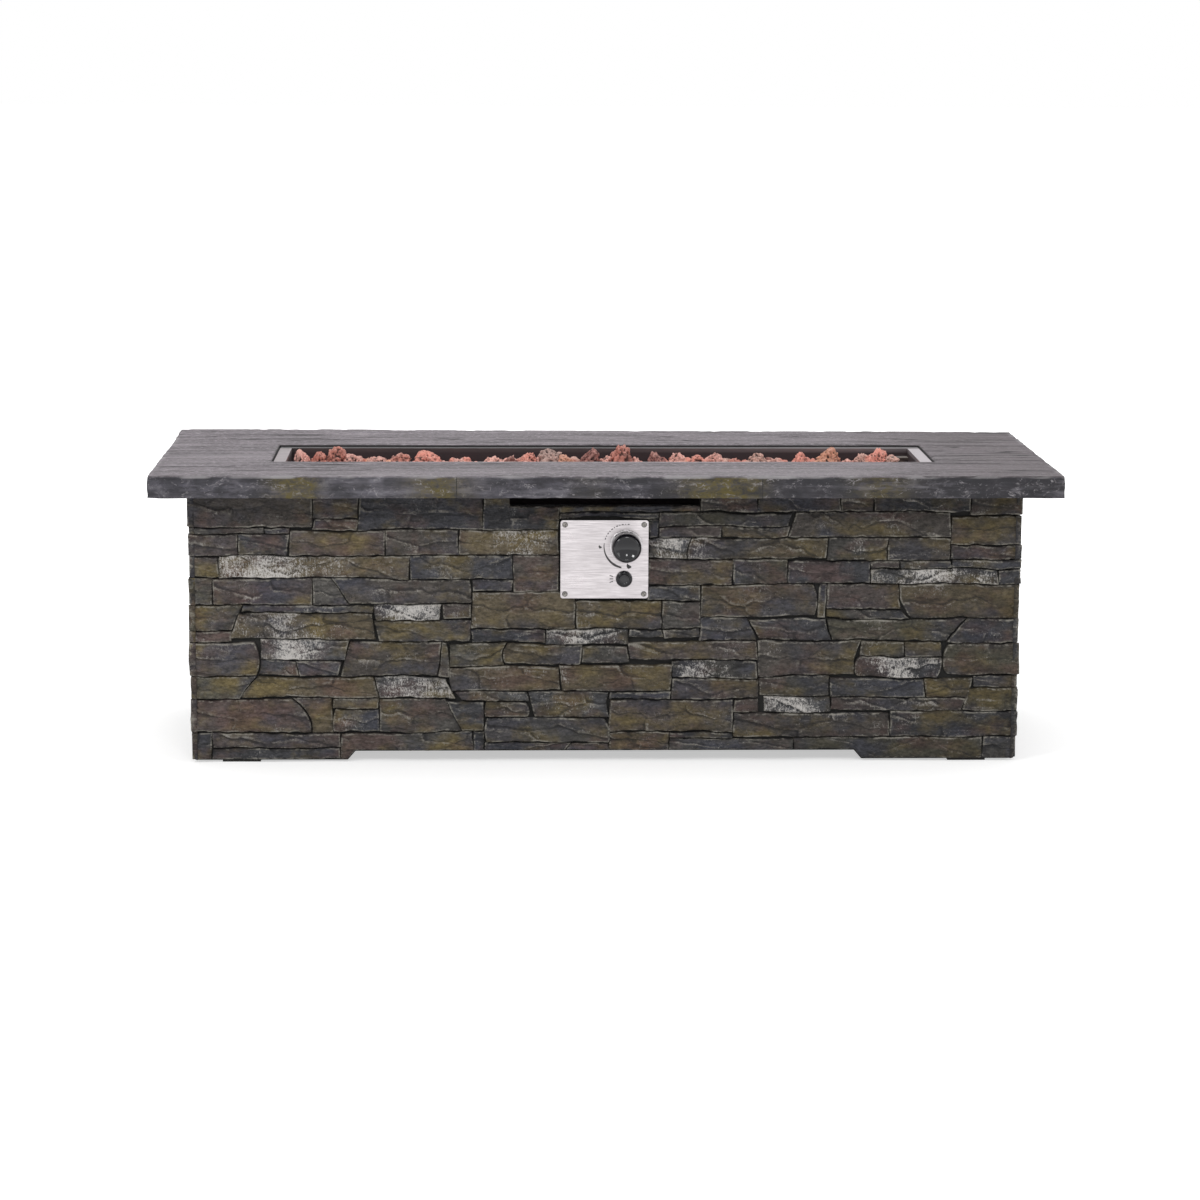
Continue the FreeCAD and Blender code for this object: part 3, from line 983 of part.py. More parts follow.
make_table_top()
make_base_shell()
make_foot_pads()
make_top_brackets()
make_burner_pan()
make_burner()
make_pilot()
make_lava_bed()
make_lava_rocks()
make_control_panel()
make_knob()
make_valve()
make_igniter()
make_gas_lines()
make_leads()
make_heat_shield()
doc.recompute()

for item in doc.Objects:
    if "Invalid" in item.State or "Error" in item.State:
        raise RuntimeError(f"{item.Name} could not be made")
for part in subparts:
    if part.Shape.isNull() or not part.Shape.isValid() or not part.Shape.Solids:
        raise RuntimeError(f"{part.Label} has no sound solid")

os.makedirs("parts", exist_ok=True)
for part in subparts:
    part.Shape.exportStep(f"parts/{part.Label}.step")
print(len(subparts), "sub-parts written")
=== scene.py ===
import math

import bpy
import numpy as np
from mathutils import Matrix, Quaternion, Vector


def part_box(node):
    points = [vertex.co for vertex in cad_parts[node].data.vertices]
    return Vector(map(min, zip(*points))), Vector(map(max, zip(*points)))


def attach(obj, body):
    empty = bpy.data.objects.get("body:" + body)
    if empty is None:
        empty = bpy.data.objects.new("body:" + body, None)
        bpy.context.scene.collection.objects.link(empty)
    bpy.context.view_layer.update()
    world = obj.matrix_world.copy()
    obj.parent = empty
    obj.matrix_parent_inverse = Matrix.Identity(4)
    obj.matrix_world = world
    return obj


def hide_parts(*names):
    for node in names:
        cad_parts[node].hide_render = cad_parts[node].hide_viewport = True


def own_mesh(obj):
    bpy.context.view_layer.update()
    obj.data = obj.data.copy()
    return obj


# A low gas fire pit table: a slate-look slab on a casing faced with stacked stone, a steel pan of
# lava rock let into the slab, and a control panel in the front wall. Metres, +Z up, front along -Y.
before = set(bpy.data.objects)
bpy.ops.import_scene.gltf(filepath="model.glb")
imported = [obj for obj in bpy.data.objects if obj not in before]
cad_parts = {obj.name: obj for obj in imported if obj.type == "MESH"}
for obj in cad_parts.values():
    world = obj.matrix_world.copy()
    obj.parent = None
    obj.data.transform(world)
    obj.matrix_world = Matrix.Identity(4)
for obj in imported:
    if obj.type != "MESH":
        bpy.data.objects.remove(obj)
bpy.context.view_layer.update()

# The photographer stood a little left of the middle and looked slightly down, from far away, so the
# table's front is almost square to the picture. The camera is turned a quarter of a degree.
camera_azimuth = math.radians(1.80)
camera_elevation = math.radians(9.89)
camera_roll = math.radians(0.26)
camera_distance = 5.471
camera_target = Vector((-0.0024, 0, 0.2208))
camera_back = Vector((-math.sin(camera_azimuth) * math.cos(camera_elevation),
                      -math.cos(camera_azimuth) * math.cos(camera_elevation),
                      math.sin(camera_elevation)))
lens = bpy.data.cameras.new("camera")
lens.lens = 99.84
lens.sensor_width = 36
lens.clip_end = 200
camera = bpy.data.objects.new("camera", lens)
camera.rotation_mode = "QUATERNION"
camera.location = camera_target + camera_back * camera_distance
camera.rotation_quaternion = (-camera_back).to_track_quat("-Z", "Y") @ Quaternion((0, 0, 1), camera_roll)
bpy.context.scene.collection.objects.link(camera)
bpy.context.scene.camera = camera
bpy.context.scene.view_settings.view_transform = "Standard"


# The studio: a white floor that runs on into a white room, an even light from all round, and large
# soft boxes overhead, at the front left, high in front and at the right. The camera and polished
# metal see the room as plain white.
def add_node(nodes, kind, inputs=None, **settings):
    """Add one shader node. Settings are its options, inputs its sockets: numbers, colours or outputs
    of other nodes, which are linked."""
    node = nodes.new(f"ShaderNode{kind}")
    for name, value in settings.items():
        setattr(node, name, value)
    for name, value in (inputs or {}).items():
        if isinstance(value, bpy.types.NodeSocket):
            nodes.id_data.links.new(value, node.inputs[name])
        else:
            node.inputs[name].default_value = value
    return node


def seen_directly(nodes):
    """1 for rays of the camera, of mirrors and of glass, and 0 for the rays that light things."""
    path = add_node(nodes, "LightPath")
    seen = add_node(nodes, "Math", {0: path.outputs["Is Camera Ray"], 1: path.outputs["Is Glossy Ray"]},
                    operation="MAXIMUM")
    return add_node(nodes, "Math", {0: seen.outputs[0], 1: path.outputs["Is Transmission Ray"]},
                    operation="MAXIMUM").outputs[0]


room_light = 0.55
room = bpy.data.worlds.new("room")
bpy.context.scene.world = room
room.use_nodes = True
room_nodes = room.node_tree.nodes
room_strength = add_node(room_nodes, "MapRange", {"Value": seen_directly(room_nodes), "To Min": room_light,
                                                  "To Max": 1.0})
room_nodes["Background"].inputs["Color"].default_value = (1, 1, 1, 1)
room.node_tree.links.new(room_strength.outputs[0], room_nodes["Background"].inputs["Strength"])

floor_half = 40.0
floor_mesh = bpy.data.meshes.new("floor")
floor_mesh.from_pydata([(-floor_half, -floor_half, 0), (floor_half, -floor_half, 0),
                        (floor_half, floor_half, 0), (-floor_half, floor_half, 0)], [], [(0, 1, 2, 3)])
floor = bpy.data.objects.new("floor", floor_mesh)
bpy.context.scene.collection.objects.link(floor)
floor_paint = bpy.data.materials.new("floor_paint")
floor_paint.use_nodes = True
floor_nodes = floor_paint.node_tree.nodes
floor_nodes.clear()
floor_lit = add_node(floor_nodes, "BsdfDiffuse", {"Color": (0.75, 0.75, 0.75, 1)})
floor_glow = add_node(floor_nodes, "Emission", {"Color": (1, 1, 1, 1)})
floor_place = add_node(floor_nodes, "TexCoord").outputs["Object"]
floor_distance = add_node(floor_nodes, "VectorMath", {0: floor_place}, operation="LENGTH").outputs["Value"]
floor_far = add_node(floor_nodes, "MapRange", {"Value": floor_distance, "From Min": 0.6, "From Max": 2.0,
                                               "To Min": 0.52, "To Max": 1.0}).outputs[0]
floor_share = add_node(floor_nodes, "Math", {0: seen_directly(floor_nodes), 1: floor_far},
                       operation="MULTIPLY")
floor_paint.node_tree.links.new(floor_share.outputs[0], floor_glow.inputs["Strength"])
floor_sum = add_node(floor_nodes, "AddShader", {0: floor_lit.outputs[0], 1: floor_glow.outputs[0]})
add_node(floor_nodes, "OutputMaterial", {"Surface": floor_sum.outputs[0]})
floor_mesh.materials.append(floor_paint)

for name, place, size, power in (
        ("overhead", (0.0, 0.5, 2.6), 2.2, 20), ("front_left", (-2.5, -2.8, 2.7), 0.7, 32),
        ("front_high", (0.2, -3.6, 2.7), 0.75, 20), ("right", (3.0, -1.6, 1.7), 1.4, 12)):
    lamp = bpy.data.lights.new(name, "AREA")
    lamp.size = size
    lamp.energy = power
    soft_box = bpy.data.objects.new(name, lamp)
    soft_box.rotation_mode = "QUATERNION"
    soft_box.location = place
    soft_box.rotation_quaternion = (Vector((0, 0, 0.3)) - Vector(place)).to_track_quat("-Z", "Y")
    bpy.context.scene.collection.objects.link(soft_box)


# The casing is cast in coloured concrete as four plain walls. The front and the rear have a long vent
# slot under the slab and a shallow recess between the feet. The front has a raised seat and a hatch for
# the panel, and the rear has a round boss for the gas inlet.
def new_piece(name, points, faces, finish, nodes_replaced=(), slot=None, body="casing", smooth=True,
              attributes=None):
    """A closed mesh object from an array of points and arrays of corner numbers, one array for each
    number of corners, that rides on a body of the frame. The faces are turned over together where they
    enclose less than nothing. Attributes give a number or a colour to each point."""
    points = np.asarray(points, float)
    volume = sum(
        np.einsum("ij,ij->", points[part[:, 0]], np.cross(points[part[:, k]], points[part[:, k + 1]]))
        for part in faces for k in range(1, part.shape[1] - 1))
    if volume < 0:
        faces = [part[:, ::-1] for part in faces]
    mesh = bpy.data.meshes.new(name)
    corners = np.concatenate([part.ravel() for part in faces])
    counts = np.concatenate([np.full(len(part), part.shape[1]) for part in faces])
    mesh.vertices.add(len(points))
    mesh.vertices.foreach_set("co", points.astype(np.float32).ravel())
    mesh.loops.add(len(corners))
    mesh.loops.foreach_set("vertex_index", corners.astype(np.int32))
    mesh.polygons.add(len(counts))
    mesh.polygons.foreach_set("loop_start", np.concatenate([[0], np.cumsum(counts)[:-1]]).astype(np.int32))
    for key, values in (attributes or {}).items():
        if np.ndim(values) == 2:
            mesh.attributes.new(key, "FLOAT_COLOR", "POINT").data.foreach_set(
                "color", np.column_stack([values, np.ones(len(values))]).astype(np.float32).ravel())
        else:
            mesh.attributes.new(key, "FLOAT", "POINT").data.foreach_set("value", values.astype(np.float32))
    mesh.polygons.foreach_set("use_smooth", np.full(len(counts), smooth))
    mesh.update(calc_edges=True)
    mesh.validate()
    mesh.materials.append(finish.material)
    piece = bpy.data.objects.new(name, mesh)
    bpy.context.scene.collection.objects.link(piece)
    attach(piece, body)
    if nodes_replaced:
        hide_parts(*nodes_replaced)
    return piece


class Finish:
    """A named material with a Principled shader. Its methods add nodes and give back their outputs, and
    a value may be a number, a colour or such an output."""

    def __init__(self, name, metallic=0.0, roughness=0.5, specular=0.5):
        self.material = bpy.data.materials.new(name)
        self.material.use_nodes = True
        self.nodes = self.material.node_tree.nodes
        self.shader = self.nodes["Principled BSDF"]
        for socket, value in (("Metallic", metallic), ("Roughness", roughness),
                              ("Specular IOR Level", specular)):
            self.shader.inputs[socket].default_value = value
        self.place = self.add("TexCoord", output="Object")

    def add(self, kind, inputs=None, output=0, **settings):
        """One output of a new node."""
        return add_node(self.nodes, kind, inputs, **settings).outputs[output]

    def along(self, axis):
        """How far a point lies along X, Y or Z."""
        return self.add("SeparateXYZ", {0: self.place}, axis)

    def painted(self, *keys):
        """The numbers that a piece's mesh gives to its points."""
        return [self.add("Attribute", output="Fac", attribute_name=key) for key in keys]

    def texture(self, kind, scale, stretch, output, **inputs):
        """A texture of so many cycles a metre, stretched along the axes."""
        place = self.add("Mapping", {"Vector": self.place, "Scale": stretch})
        return self.add(f"Tex{kind}", {"Vector": place, "Scale": scale, **inputs}, output)

    def noise(self, scale, stretch=(1, 1, 1), detail=2.0, fineness=0.5, distortion=0.0):
        """Smooth noise, finer with its detail and fineness."""
        return self.texture("Noise", scale, stretch, "Fac", Detail=detail, Roughness=fineness,
                            Distortion=distortion)

    def between(self, value, low, high, to_low=0.0, to_high=1.0):
        """Value brought from low..high to to_low..to_high and held there."""
        return self.add("MapRange", {"Value": value, "From Min": low, "From Max": high,
                                     "To Min": to_low, "To Max": to_high})

    def math(self, how, first, second=0.0):
        """One sum of two numbers or outputs."""
        return self.add("Math", {0: first, 1: second}, operation=how)

    def hairline(self, value, middle, wide, narrow):
        """1 where value is within narrow of middle, fading to 0 at wide."""
        return self.between(self.math("ABSOLUTE", self.math("SUBTRACT", value, middle)), wide, narrow)

    def blend(self, share, first, second, how="MIX"):
        """Colour first, with its share of colour second."""
        first, second = [value if isinstance(value, bpy.types.NodeSocket) else (*value, 1)
                         for value in (first, second)]
        return self.add("Mix", {0: share, 6: first, 7: second}, 2, data_type="RGBA", blend_type=how)

    def coats(self, colour, *coats):
        """Colour under coats of other colours. As a coat's value goes from low to high, its share goes
        from least to most."""
        for value, low, high, least, most, coat in coats:
            colour = self.blend(self.between(value, low, high, least, most), colour, coat)
        return colour

    def apply(self, colour, height, depth, roughness=None):
        """Link what varies over the surface: its colour, a bump whose height of 1 stands for the depth,
        and its roughness."""
        bump = self.add("Bump", {"Height": height, "Distance": depth})
        for socket, value in (("Base Color", colour), ("Normal", bump), ("Roughness", roughness)):
            if value is not None:
                self.nodes.id_data.links.new(value, self.shader.inputs[socket])


base_half_length, base_half_width = 0.656, 0.231
core_half_length, core_half_width = 0.646, 0.221
room_half_length, room_half_width = 0.630, 0.205
slab_under = 0.430
pad_height, recess_top, recess_half, recess_slant = 0.003, 0.017, 0.396, 0.012
vent_left, vent_right, vent_foot = -0.153, 0.147, 0.410
hatch_left, hatch_right, hatch_foot, hatch_head = -0.055, 0.049, 0.281, 0.371
seat_left, seat_right, seat_foot, seat_head = -0.071, 0.065, 0.265, 0.387

concrete = Finish("raw_concrete", roughness=0.95)
concrete_grain = concrete.noise(60, detail=8.0)
concrete.apply(concrete.blend(concrete_grain, (0.011, 0.011, 0.011), (0.035, 0.034, 0.032)),
               concrete_grain, 0.002)


def carve(xs, ys, zs, filled):
    """Surface of a block solid: cells between the given planes are filled or empty, and each face
    between a filled cell and an empty one becomes a quad that looks at the empty one."""
    corners = np.stack(np.meshgrid(xs, ys, zs, indexing="ij"), -1)
    shape = corners.shape[:3]
    number = np.arange(np.prod(shape)).reshape(shape)
    padded = np.pad(filled, 1)
    quads = []
    for axis in range(3):
        ahead = np.roll(padded, -1, axis)
        for leaves, flip in ((padded & ~ahead, False), (~padded & ahead, True)):
            cell = np.argwhere(leaves) - 1
            cell[:, axis] += 1
            one, two = [a for a in range(3) if a != axis]
            steps = [(0, 0), (1, 0), (1, 1), (0, 1)]
            if flip != (axis == 1):
                steps = steps[::-1]
            loop = []
            for a, b in steps:
                spot = cell.copy()
                spot[:, one] += a
                spot[:, two] += b
                loop.append(number[spot[:, 0], spot[:, 1], spot[:, 2]])
            quads.append(np.stack(loop, -1))
    used, quads = np.unique(np.concatenate(quads), return_inverse=True)
    return corners.reshape(-1, 3)[used], quads.reshape(-1, 4)


wall_xs = np.array([-core_half_length, -room_half_length, -recess_half, vent_left, seat_left, hatch_left,
                    hatch_right, seat_right, vent_right, recess_half, room_half_length, core_half_length])
wall_ys = np.array([-base_half_width, -core_half_width, -room_half_width, room_half_width, core_half_width])
wall_zs = np.array([pad_height, recess_top, seat_foot, hatch_foot, hatch_head, seat_head, vent_foot,
                    slab_under])
wall_x, wall_y, wall_z = np.meshgrid(*[(planes[1:] + planes[:-1]) / 2
                                       for planes in (wall_xs, wall_ys, wall_zs)], indexing="ij")
long_wall = abs(wall_y) > room_half_width
seat = (wall_x > seat_left) & (wall_x < seat_right) & (wall_z > seat_foot) & (wall_z < seat_head)
walls = ((abs(wall_x) > room_half_length) | long_wall) & ((wall_y > -core_half_width) | seat)
walls &= ~(long_wall & (abs(wall_x) < recess_half) & (wall_z < recess_top))
walls &= ~(long_wall & (wall_x > vent_left) & (wall_x < vent_right) & (wall_z > vent_foot))
walls &= ~((wall_y < 0) & long_wall & (wall_x > hatch_left) & (wall_x < hatch_right)
           & (wall_z > hatch_foot) & (wall_z < hatch_head))
wall_points, wall_quads = carve(wall_xs, wall_ys, wall_zs, walls)
foot_ends = (wall_points[:, 2] < recess_top - 0.001) & (abs(abs(wall_points[:, 0]) - recess_half) < 0.001)
wall_points[foot_ends, 0] += np.sign(wall_points[foot_ends, 0]) * recess_slant
new_piece("casing_walls", wall_points, [wall_quads], concrete, ["base_shell"], "cast_stone", smooth=False)

# The walls are faced with cast stones that stand out eight to ten millimetres, laid dry with narrow
# dark joints. Each has a cleft face, rounded broken edges and its own tint. Its ridges are painted
# lighter, partly dry-brush and partly painted highlight, and its clefts darker as painted shade. The
# table gives left, right, bottom and top edges in millimetres from the wall's left end.
tints = {
    "grey": (0.070, 0.066, 0.061), "slate": (0.060, 0.060, 0.067), "plum": (0.078, 0.064, 0.060),
    "ochre": (0.106, 0.086, 0.056), "moss": (0.076, 0.070, 0.052), "brown": (0.074, 0.065, 0.058),
    "dark": (0.042, 0.042, 0.046), "frost": (0.075, 0.075, 0.078), "rime": (0.066, 0.066, 0.070),
}
front_stones = [
    (0, 194, 378, 427, "brown"), (197, 266, 392, 427, "slate"), (197, 266, 373, 389, "plum"),
    (269, 462, 373, 427, "slate"), (465, 580, 373, 427, "dark"), (583, 802, 401, 427, "slate"),
    (583, 737, 391, 398, "dark"), (805, 892, 402, 427, "brown"), (895, 1022, 402, 427, "slate"),
    (1025, 1075, 402, 427, "plum"), (1078, 1228, 402, 427, "dark"), (1231, 1312, 396, 427, "brown"),
    (723, 737, 361, 388, "dark"), (740, 938, 379, 398, "moss"), (740, 835, 361, 376, "plum"),
    (838, 938, 361, 376, "ochre"), (941, 1198, 361, 399, "brown"), (1201, 1312, 350, 393, "brown"),
    (0, 118, 367, 375, "grey"), (121, 158, 367, 375, "dark"), (0, 78, 332, 364, "plum"),
    (81, 157, 332, 364, "slate"), (161, 309, 332, 370, "plum"), (312, 423, 332, 370, "brown"),
    (426, 580, 332, 370, "ochre"), (723, 783, 328, 358, "rime"), (786, 1003, 328, 358, "ochre"),
    (1006, 1098, 325, 358, "grey"), (1101, 1198, 325, 358, "ochre"), (1201, 1312, 327, 347, "dark"),
    (1203, 1312, 312, 324, "slate"), (0, 47, 298, 329, "grey"), (50, 346, 296, 329, "ochre"),
    (349, 507, 296, 329, "slate"), (510, 580, 275, 329, "brown"), (447, 507, 277, 293, "grey"),
    (723, 855, 287, 325, "plum"), (858, 940, 287, 325, "moss"), (943, 1071, 287, 322, "slate"),
    (1074, 1118, 312, 322, "plum"), (1121, 1200, 312, 322, "frost"), (1074, 1275, 287, 309, "frost"),
    (1278, 1312, 287, 309, "slate"), (0, 36, 254, 295, "moss"), (39, 194, 254, 293, "plum"),
    (197, 248, 254, 293, "grey"), (251, 443, 256, 293, "brown"), (292, 396, 230, 253, "frost"),
    (402, 443, 231, 253, "plum"), (88, 289, 242, 251, "slate"), (0, 78, 213, 251, "moss"),
    (81, 289, 200, 239, "ochre"), (446, 606, 215, 273, "ochre"), (609, 743, 215, 258, "ochre"),
    (746, 804, 216, 258, "grey"), (723, 804, 261, 284, "slate"), (807, 990, 235, 284, "ochre"),
    (993, 1003, 232, 284, "dark"), (1006, 1118, 248, 284, "plum"), (1006, 1118, 232, 245, "grey"),
    (1122, 1312, 232, 284, "ochre"), (0, 66, 195, 210, "grey"), (296, 443, 197, 227, "slate"),
    (446, 560, 193, 212, "dark"), (563, 690, 191, 212, "frost"), (693, 745, 202, 212, "frost"),
    (748, 803, 201, 213, "slate"), (806, 890, 195, 232, "slate"), (894, 1006, 197, 229, "slate"),
    (1010, 1200, 196, 229, "moss"), (1203, 1312, 193, 229, "slate"), (0, 110, 141, 192, "plum"),
    (114, 250, 167, 197, "frost"), (114, 168, 142, 164, "slate"), (171, 240, 142, 164, "slate"),
    (253, 393, 140, 194, "brown"), (396, 407, 139, 194, "grey"), (410, 496, 156, 190, "moss"),
    (499, 617, 158, 188, "ochre"), (620, 690, 161, 186, "grey"), (693, 895, 165, 192, "plum"),
    (762, 895, 136, 162, "grey"), (898, 1050, 139, 193, "brown"), (1060, 1128, 170, 192, "moss"),
    (1131, 1187, 170, 192, "ochre"), (1053, 1187, 137, 167, "rime"), (1191, 1312, 141, 190, "moss"),
    (0, 95, 103, 138, "moss"), (98, 295, 105, 137, "ochre"), (299, 407, 104, 136, "frost"),
    (410, 582, 117, 153, "ochre"), (586, 759, 116, 155, "ochre"), (664, 759, 103, 113, "dark"),
    (762, 897, 103, 133, "plum"), (900, 1009, 106, 136, "grey"), (1013, 1160, 104, 133, "slate"),
    (1163, 1237, 104, 134, "brown"), (1240, 1312, 121, 138, "ochre"), (1240, 1312, 83, 118, "moss"),
    (0, 185, 50, 100, "plum"), (188, 223, 49, 102, "ochre"), (226, 296, 50, 84, "rime"),
    (226, 296, 87, 102, "ochre"), (299, 415, 49, 101, "grey"), (418, 462, 49, 97, "dark"),
    (418, 534, 100, 114, "frost"), (465, 534, 74, 97, "ochre"), (537, 661, 73, 113, "rime"),
    (465, 661, 32, 70, "grey"), (664, 858, 49, 100, "plum"), (861, 896, 80, 99, "grey"),
    (908, 1012, 80, 103, "frost"), (1015, 1237, 82, 101, "plum"), (861, 1106, 41, 77, "brown"),
    (1109, 1312, 41, 80, "dark"), (0, 32, 4, 47, "dark"), (35, 235, 24, 46, "plum"),
    (35, 235, 4, 21, "dark"), (238, 445, 4, 46, "grey"), (448, 462, 4, 46, "dark"),
    (465, 598, 4, 29, "dark"), (601, 661, 4, 29, "plum"), (664, 755, 4, 46, "plum"),
    (758, 858, 39, 46, "dark"), (758, 955, 4, 36, "grey"), (958, 1254, 4, 38, "moss"),
    (1257, 1312, 4, 38, "grey"),
]
panel_place_stones = [
    (583, 720, 361, 388, "brown"), (583, 660, 326, 358, "grey"), (663, 720, 326, 358, "moss"),
    (583, 720, 300, 323, "plum"), (609, 720, 262, 297, "slate"), (583, 606, 276, 297, "dark"),
]
end_stones = [
    (342, 462, 378, 427, "brown"), (212, 339, 396, 427, "slate"), (132, 209, 396, 427, "ochre"),
    (0, 129, 396, 427, "brown"), (257, 339, 366, 393, "dark"), (162, 254, 366, 393, "moss"),
    (0, 159, 350, 393, "brown"), (342, 462, 367, 375, "grey"), (374, 462, 332, 364, "plum"),
    (266, 371, 331, 363, "ochre"), (162, 263, 349, 363, "slate"), (194, 263, 325, 346, "plum"),
    (0, 191, 327, 347, "dark"), (0, 191, 312, 324, "slate"), (402, 462, 298, 329, "grey"),
    (266, 399, 297, 328, "frost"), (194, 263, 297, 322, "brown"), (112, 191, 287, 309, "ochre"),
    (0, 109, 287, 309, "slate"), (332, 462, 254, 295, "moss"), (224, 329, 253, 294, "plum"),
    (194, 221, 267, 294, "dark"), (112, 221, 232, 264, "rime"), (112, 191, 267, 284, "grey"),
    (0, 109, 232, 284, "ochre"), (378, 462, 213, 251, "moss"), (292, 375, 213, 250, "slate"),
    (224, 289, 231, 250, "ochre"), (162, 289, 213, 228, "plum"), (0, 159, 193, 229, "slate"),
    (344, 462, 195, 210, "grey"), (250, 341, 194, 210, "dark"), (162, 247, 193, 210, "frost"),
    (392, 462, 141, 192, "plum"), (302, 389, 166, 191, "ochre"), (302, 389, 141, 163, "slate"),
    (200, 299, 141, 190, "brown"), (132, 197, 165, 190, "grey"), (132, 197, 141, 162, "rime"),
    (0, 129, 141, 190, "moss"), (322, 462, 103, 138, "moss"), (214, 319, 120, 138, "slate"),
    (240, 319, 103, 117, "plum"), (0, 211, 121, 138, "ochre"), (122, 237, 83, 118, "brown"),
    (0, 119, 83, 118, "moss"), (370, 462, 50, 100, "plum"), (240, 367, 76, 100, "ochre"),
    (302, 367, 50, 73, "dark"), (240, 299, 50, 73, "rime"), (144, 237, 41, 80, "slate"),
    (0, 141, 41, 80, "dark"), (336, 462, 4, 47, "dark"), (240, 333, 25, 47, "plum"),
    (240, 333, 4, 22, "grey"), (112, 237, 4, 38, "brown"), (0, 109, 4, 38, "grey"),
]

# Many ends aren't upright. For a stone's left and bottom edge, these give how far its left and its right
# end stand to the right at the foot, at half height and at the head.
end_shapes = {
    (0, 213): (None, (-13, -3, 7)), (88, 242): ((-3, -2, 0), None), (81, 200): ((-17, -9, 0), (4, 0, -3)),
    (0, 141): (None, (-5, 0, -9)), (114, 142): ((-3, 0, 0), (5, 1, -2)),
    (171, 142): ((5, 1, -2), (-7, -3, 0)), (114, 167): (None, (-4, -2, 2)),
    (253, 140): ((-13, -6, 2), (-4, 0, 3)), (396, 139): ((-4, 0, 3), (3, 0, -4)),
    (0, 103): (None, (-18, -5, 12)), (98, 105): ((-18, -5, 12), (1, -3, -8)),
    (0, 50): (None, (5, -1, -26)), (188, 49): ((5, 0, -27), None), (226, 50): ((0, -1, 5), None),
    (292, 230): ((3, 0, 0), None), (197, 254): (None, (3, -12, -27)),
    (251, 256): ((2, -13, -28), (0, 0, -3)), (296, 197): ((4, 0, -5), (-3, 0, 0)),
    (299, 104): ((0, -4, -8), (11, 2, -5)), (410, 117): ((4, 0, 0), None),
    (418, 100): ((12, 6, 0), (0, -2, -6)), (299, 49): (None, (14, 0, -14)),
    (418, 49): ((14, 0, -13), None), (499, 158): ((0, -4, 4), None), (410, 156): (None, (0, -4, 4)),
    (537, 73): ((8, 2, -3), (2, -3, 0)), (465, 74): ((1, 0, 5), (-2, 0, -6)),
    (465, 32): ((3, 0, 4), (0, 2, -8)), (465, 4): (None, (-8, -3, 2)), (601, 4): ((-8, -3, 2), None),
    (806, 195): ((-2, 0, 0), (4, -4, -14)), (894, 197): ((6, -3, -13), (6, 0, -3)),
    (1010, 196): ((6, 0, -3), (-6, 9, 26)), (1203, 193): ((-6, 10, 27), None),
    (941, 361): ((1, 7, 14), None), (740, 379): (None, (2, 4, 8)), (807, 235): (None, (-4, 0, -9)),
    (1122, 232): ((19, 1, -1), None), (838, 361): (None, (1, 3, 5)), (1006, 232): (None, (17, 9, 2)),
    (898, 139): (None, (0, 0, 10)), (1053, 137): ((4, -2, 6), (-8, 0, 0)),
    (1191, 141): ((7, 0, 11), None), (1163, 104): (None, (-7, -3, 0)), (1015, 82): (None, (-16, -12, -8)),
    (1240, 83): ((-15, -11, -7), None), (723, 328): (None, (0, 0, 6)), (786, 328): ((0, 0, 7), None),
    (743, 216): ((3, 0, -2), None),
}
# Some are brushed with white over part of their length: the middle and half of that part as shares of the
# stone's length, and its strength.
frosted = {
    (50, 296): (0.20, 0.62, 1.0), (292, 230): (0.5, 0.9, 1.0), (81, 200): (0.4, 0.7, 0.66),
    (88, 242): (0.6, 0.25, 0.45), (114, 167): (0.34, 0.58, 1.0), (299, 104): (0.5, 0.9, 0.80),
    (226, 50): (0.4, 0.6, 0.38), (563, 191): (0.5, 0.9, 0.85), (693, 202): (0.2, 0.5, 0.45),
    (418, 100): (0.5, 0.9, 0.42), (537, 73): (0.4, 0.6, 0.34), (723, 328): (0.5, 0.9, 0.86),
    (786, 328): (0.05, 0.12, 0.70), (762, 136): (0.36, 0.58, 0.86), (693, 165): (0.8, 0.2, 0.25),
    (1006, 325): (0.45, 0.35, 0.38), (1121, 312): (0.3, 0.5, 0.55), (1074, 287): (0.48, 0.64, 1.0),
    (1203, 312): (0.3, 0.5, 0.35), (1060, 170): (0.4, 0.6, 0.42), (1053, 137): (0.5, 0.66, 0.88),
    (908, 80): (0.5, 0.9, 1.0), (1015, 82): (0.5, 0.6, 0.35), (1163, 104): (0.8, 0.4, 0.32),
    (807, 235): (0.7, 0.3, 0.30), (1122, 232): (0.4, 0.5, 0.26), (898, 139): (0.2, 0.3, 0.24),
    (446, 215): (0.03, 0.06, 0.55), (586, 116): (0.04, 0.06, 0.5), (0, 50): (0.6, 0.3, 0.25),
    (0, 195): (0.2, 0.4, 0.35), (39, 254): (0.4, 0.3, 0.28), (296, 197): (0.2, 0.5, 0.0),
    (266, 297): (0.4, 0.5, 0.9), (162, 193): (0.5, 0.6, 0.8), (112, 232): (0.5, 0.5, 0.5),
    (240, 50): (0.4, 0.5, 0.4), (132, 141): (0.5, 0.6, 0.5), (426, 332): (0.62, 0.42, 0.78),
    (349, 296): (0.5, 0.4, 0.40), (609, 215): (0.4, 0.5, 0.34), (861, 41): (0.7, 0.4, 0.30),
}
plain_frost = 0.16

stone_joint = 0.0016
stone_depths = (0.010, 0.008, 0.009)
stone_top = 0.4285
stone_edge = np.array([0, 0.0003, 0.0008, 0.0016, 0.0028])
piece_quads = 88000


def lattice(corner, seed):
    """A fixed random number from 0 to 1 for each whole-numbered corner: the fraction of a large sine."""
    value = np.sin(corner[0] * 127.1 + corner[1] * 311.7 + corner[2] * 74.7 + seed * 53.3) * 43758.5453
    return value - np.floor(value)


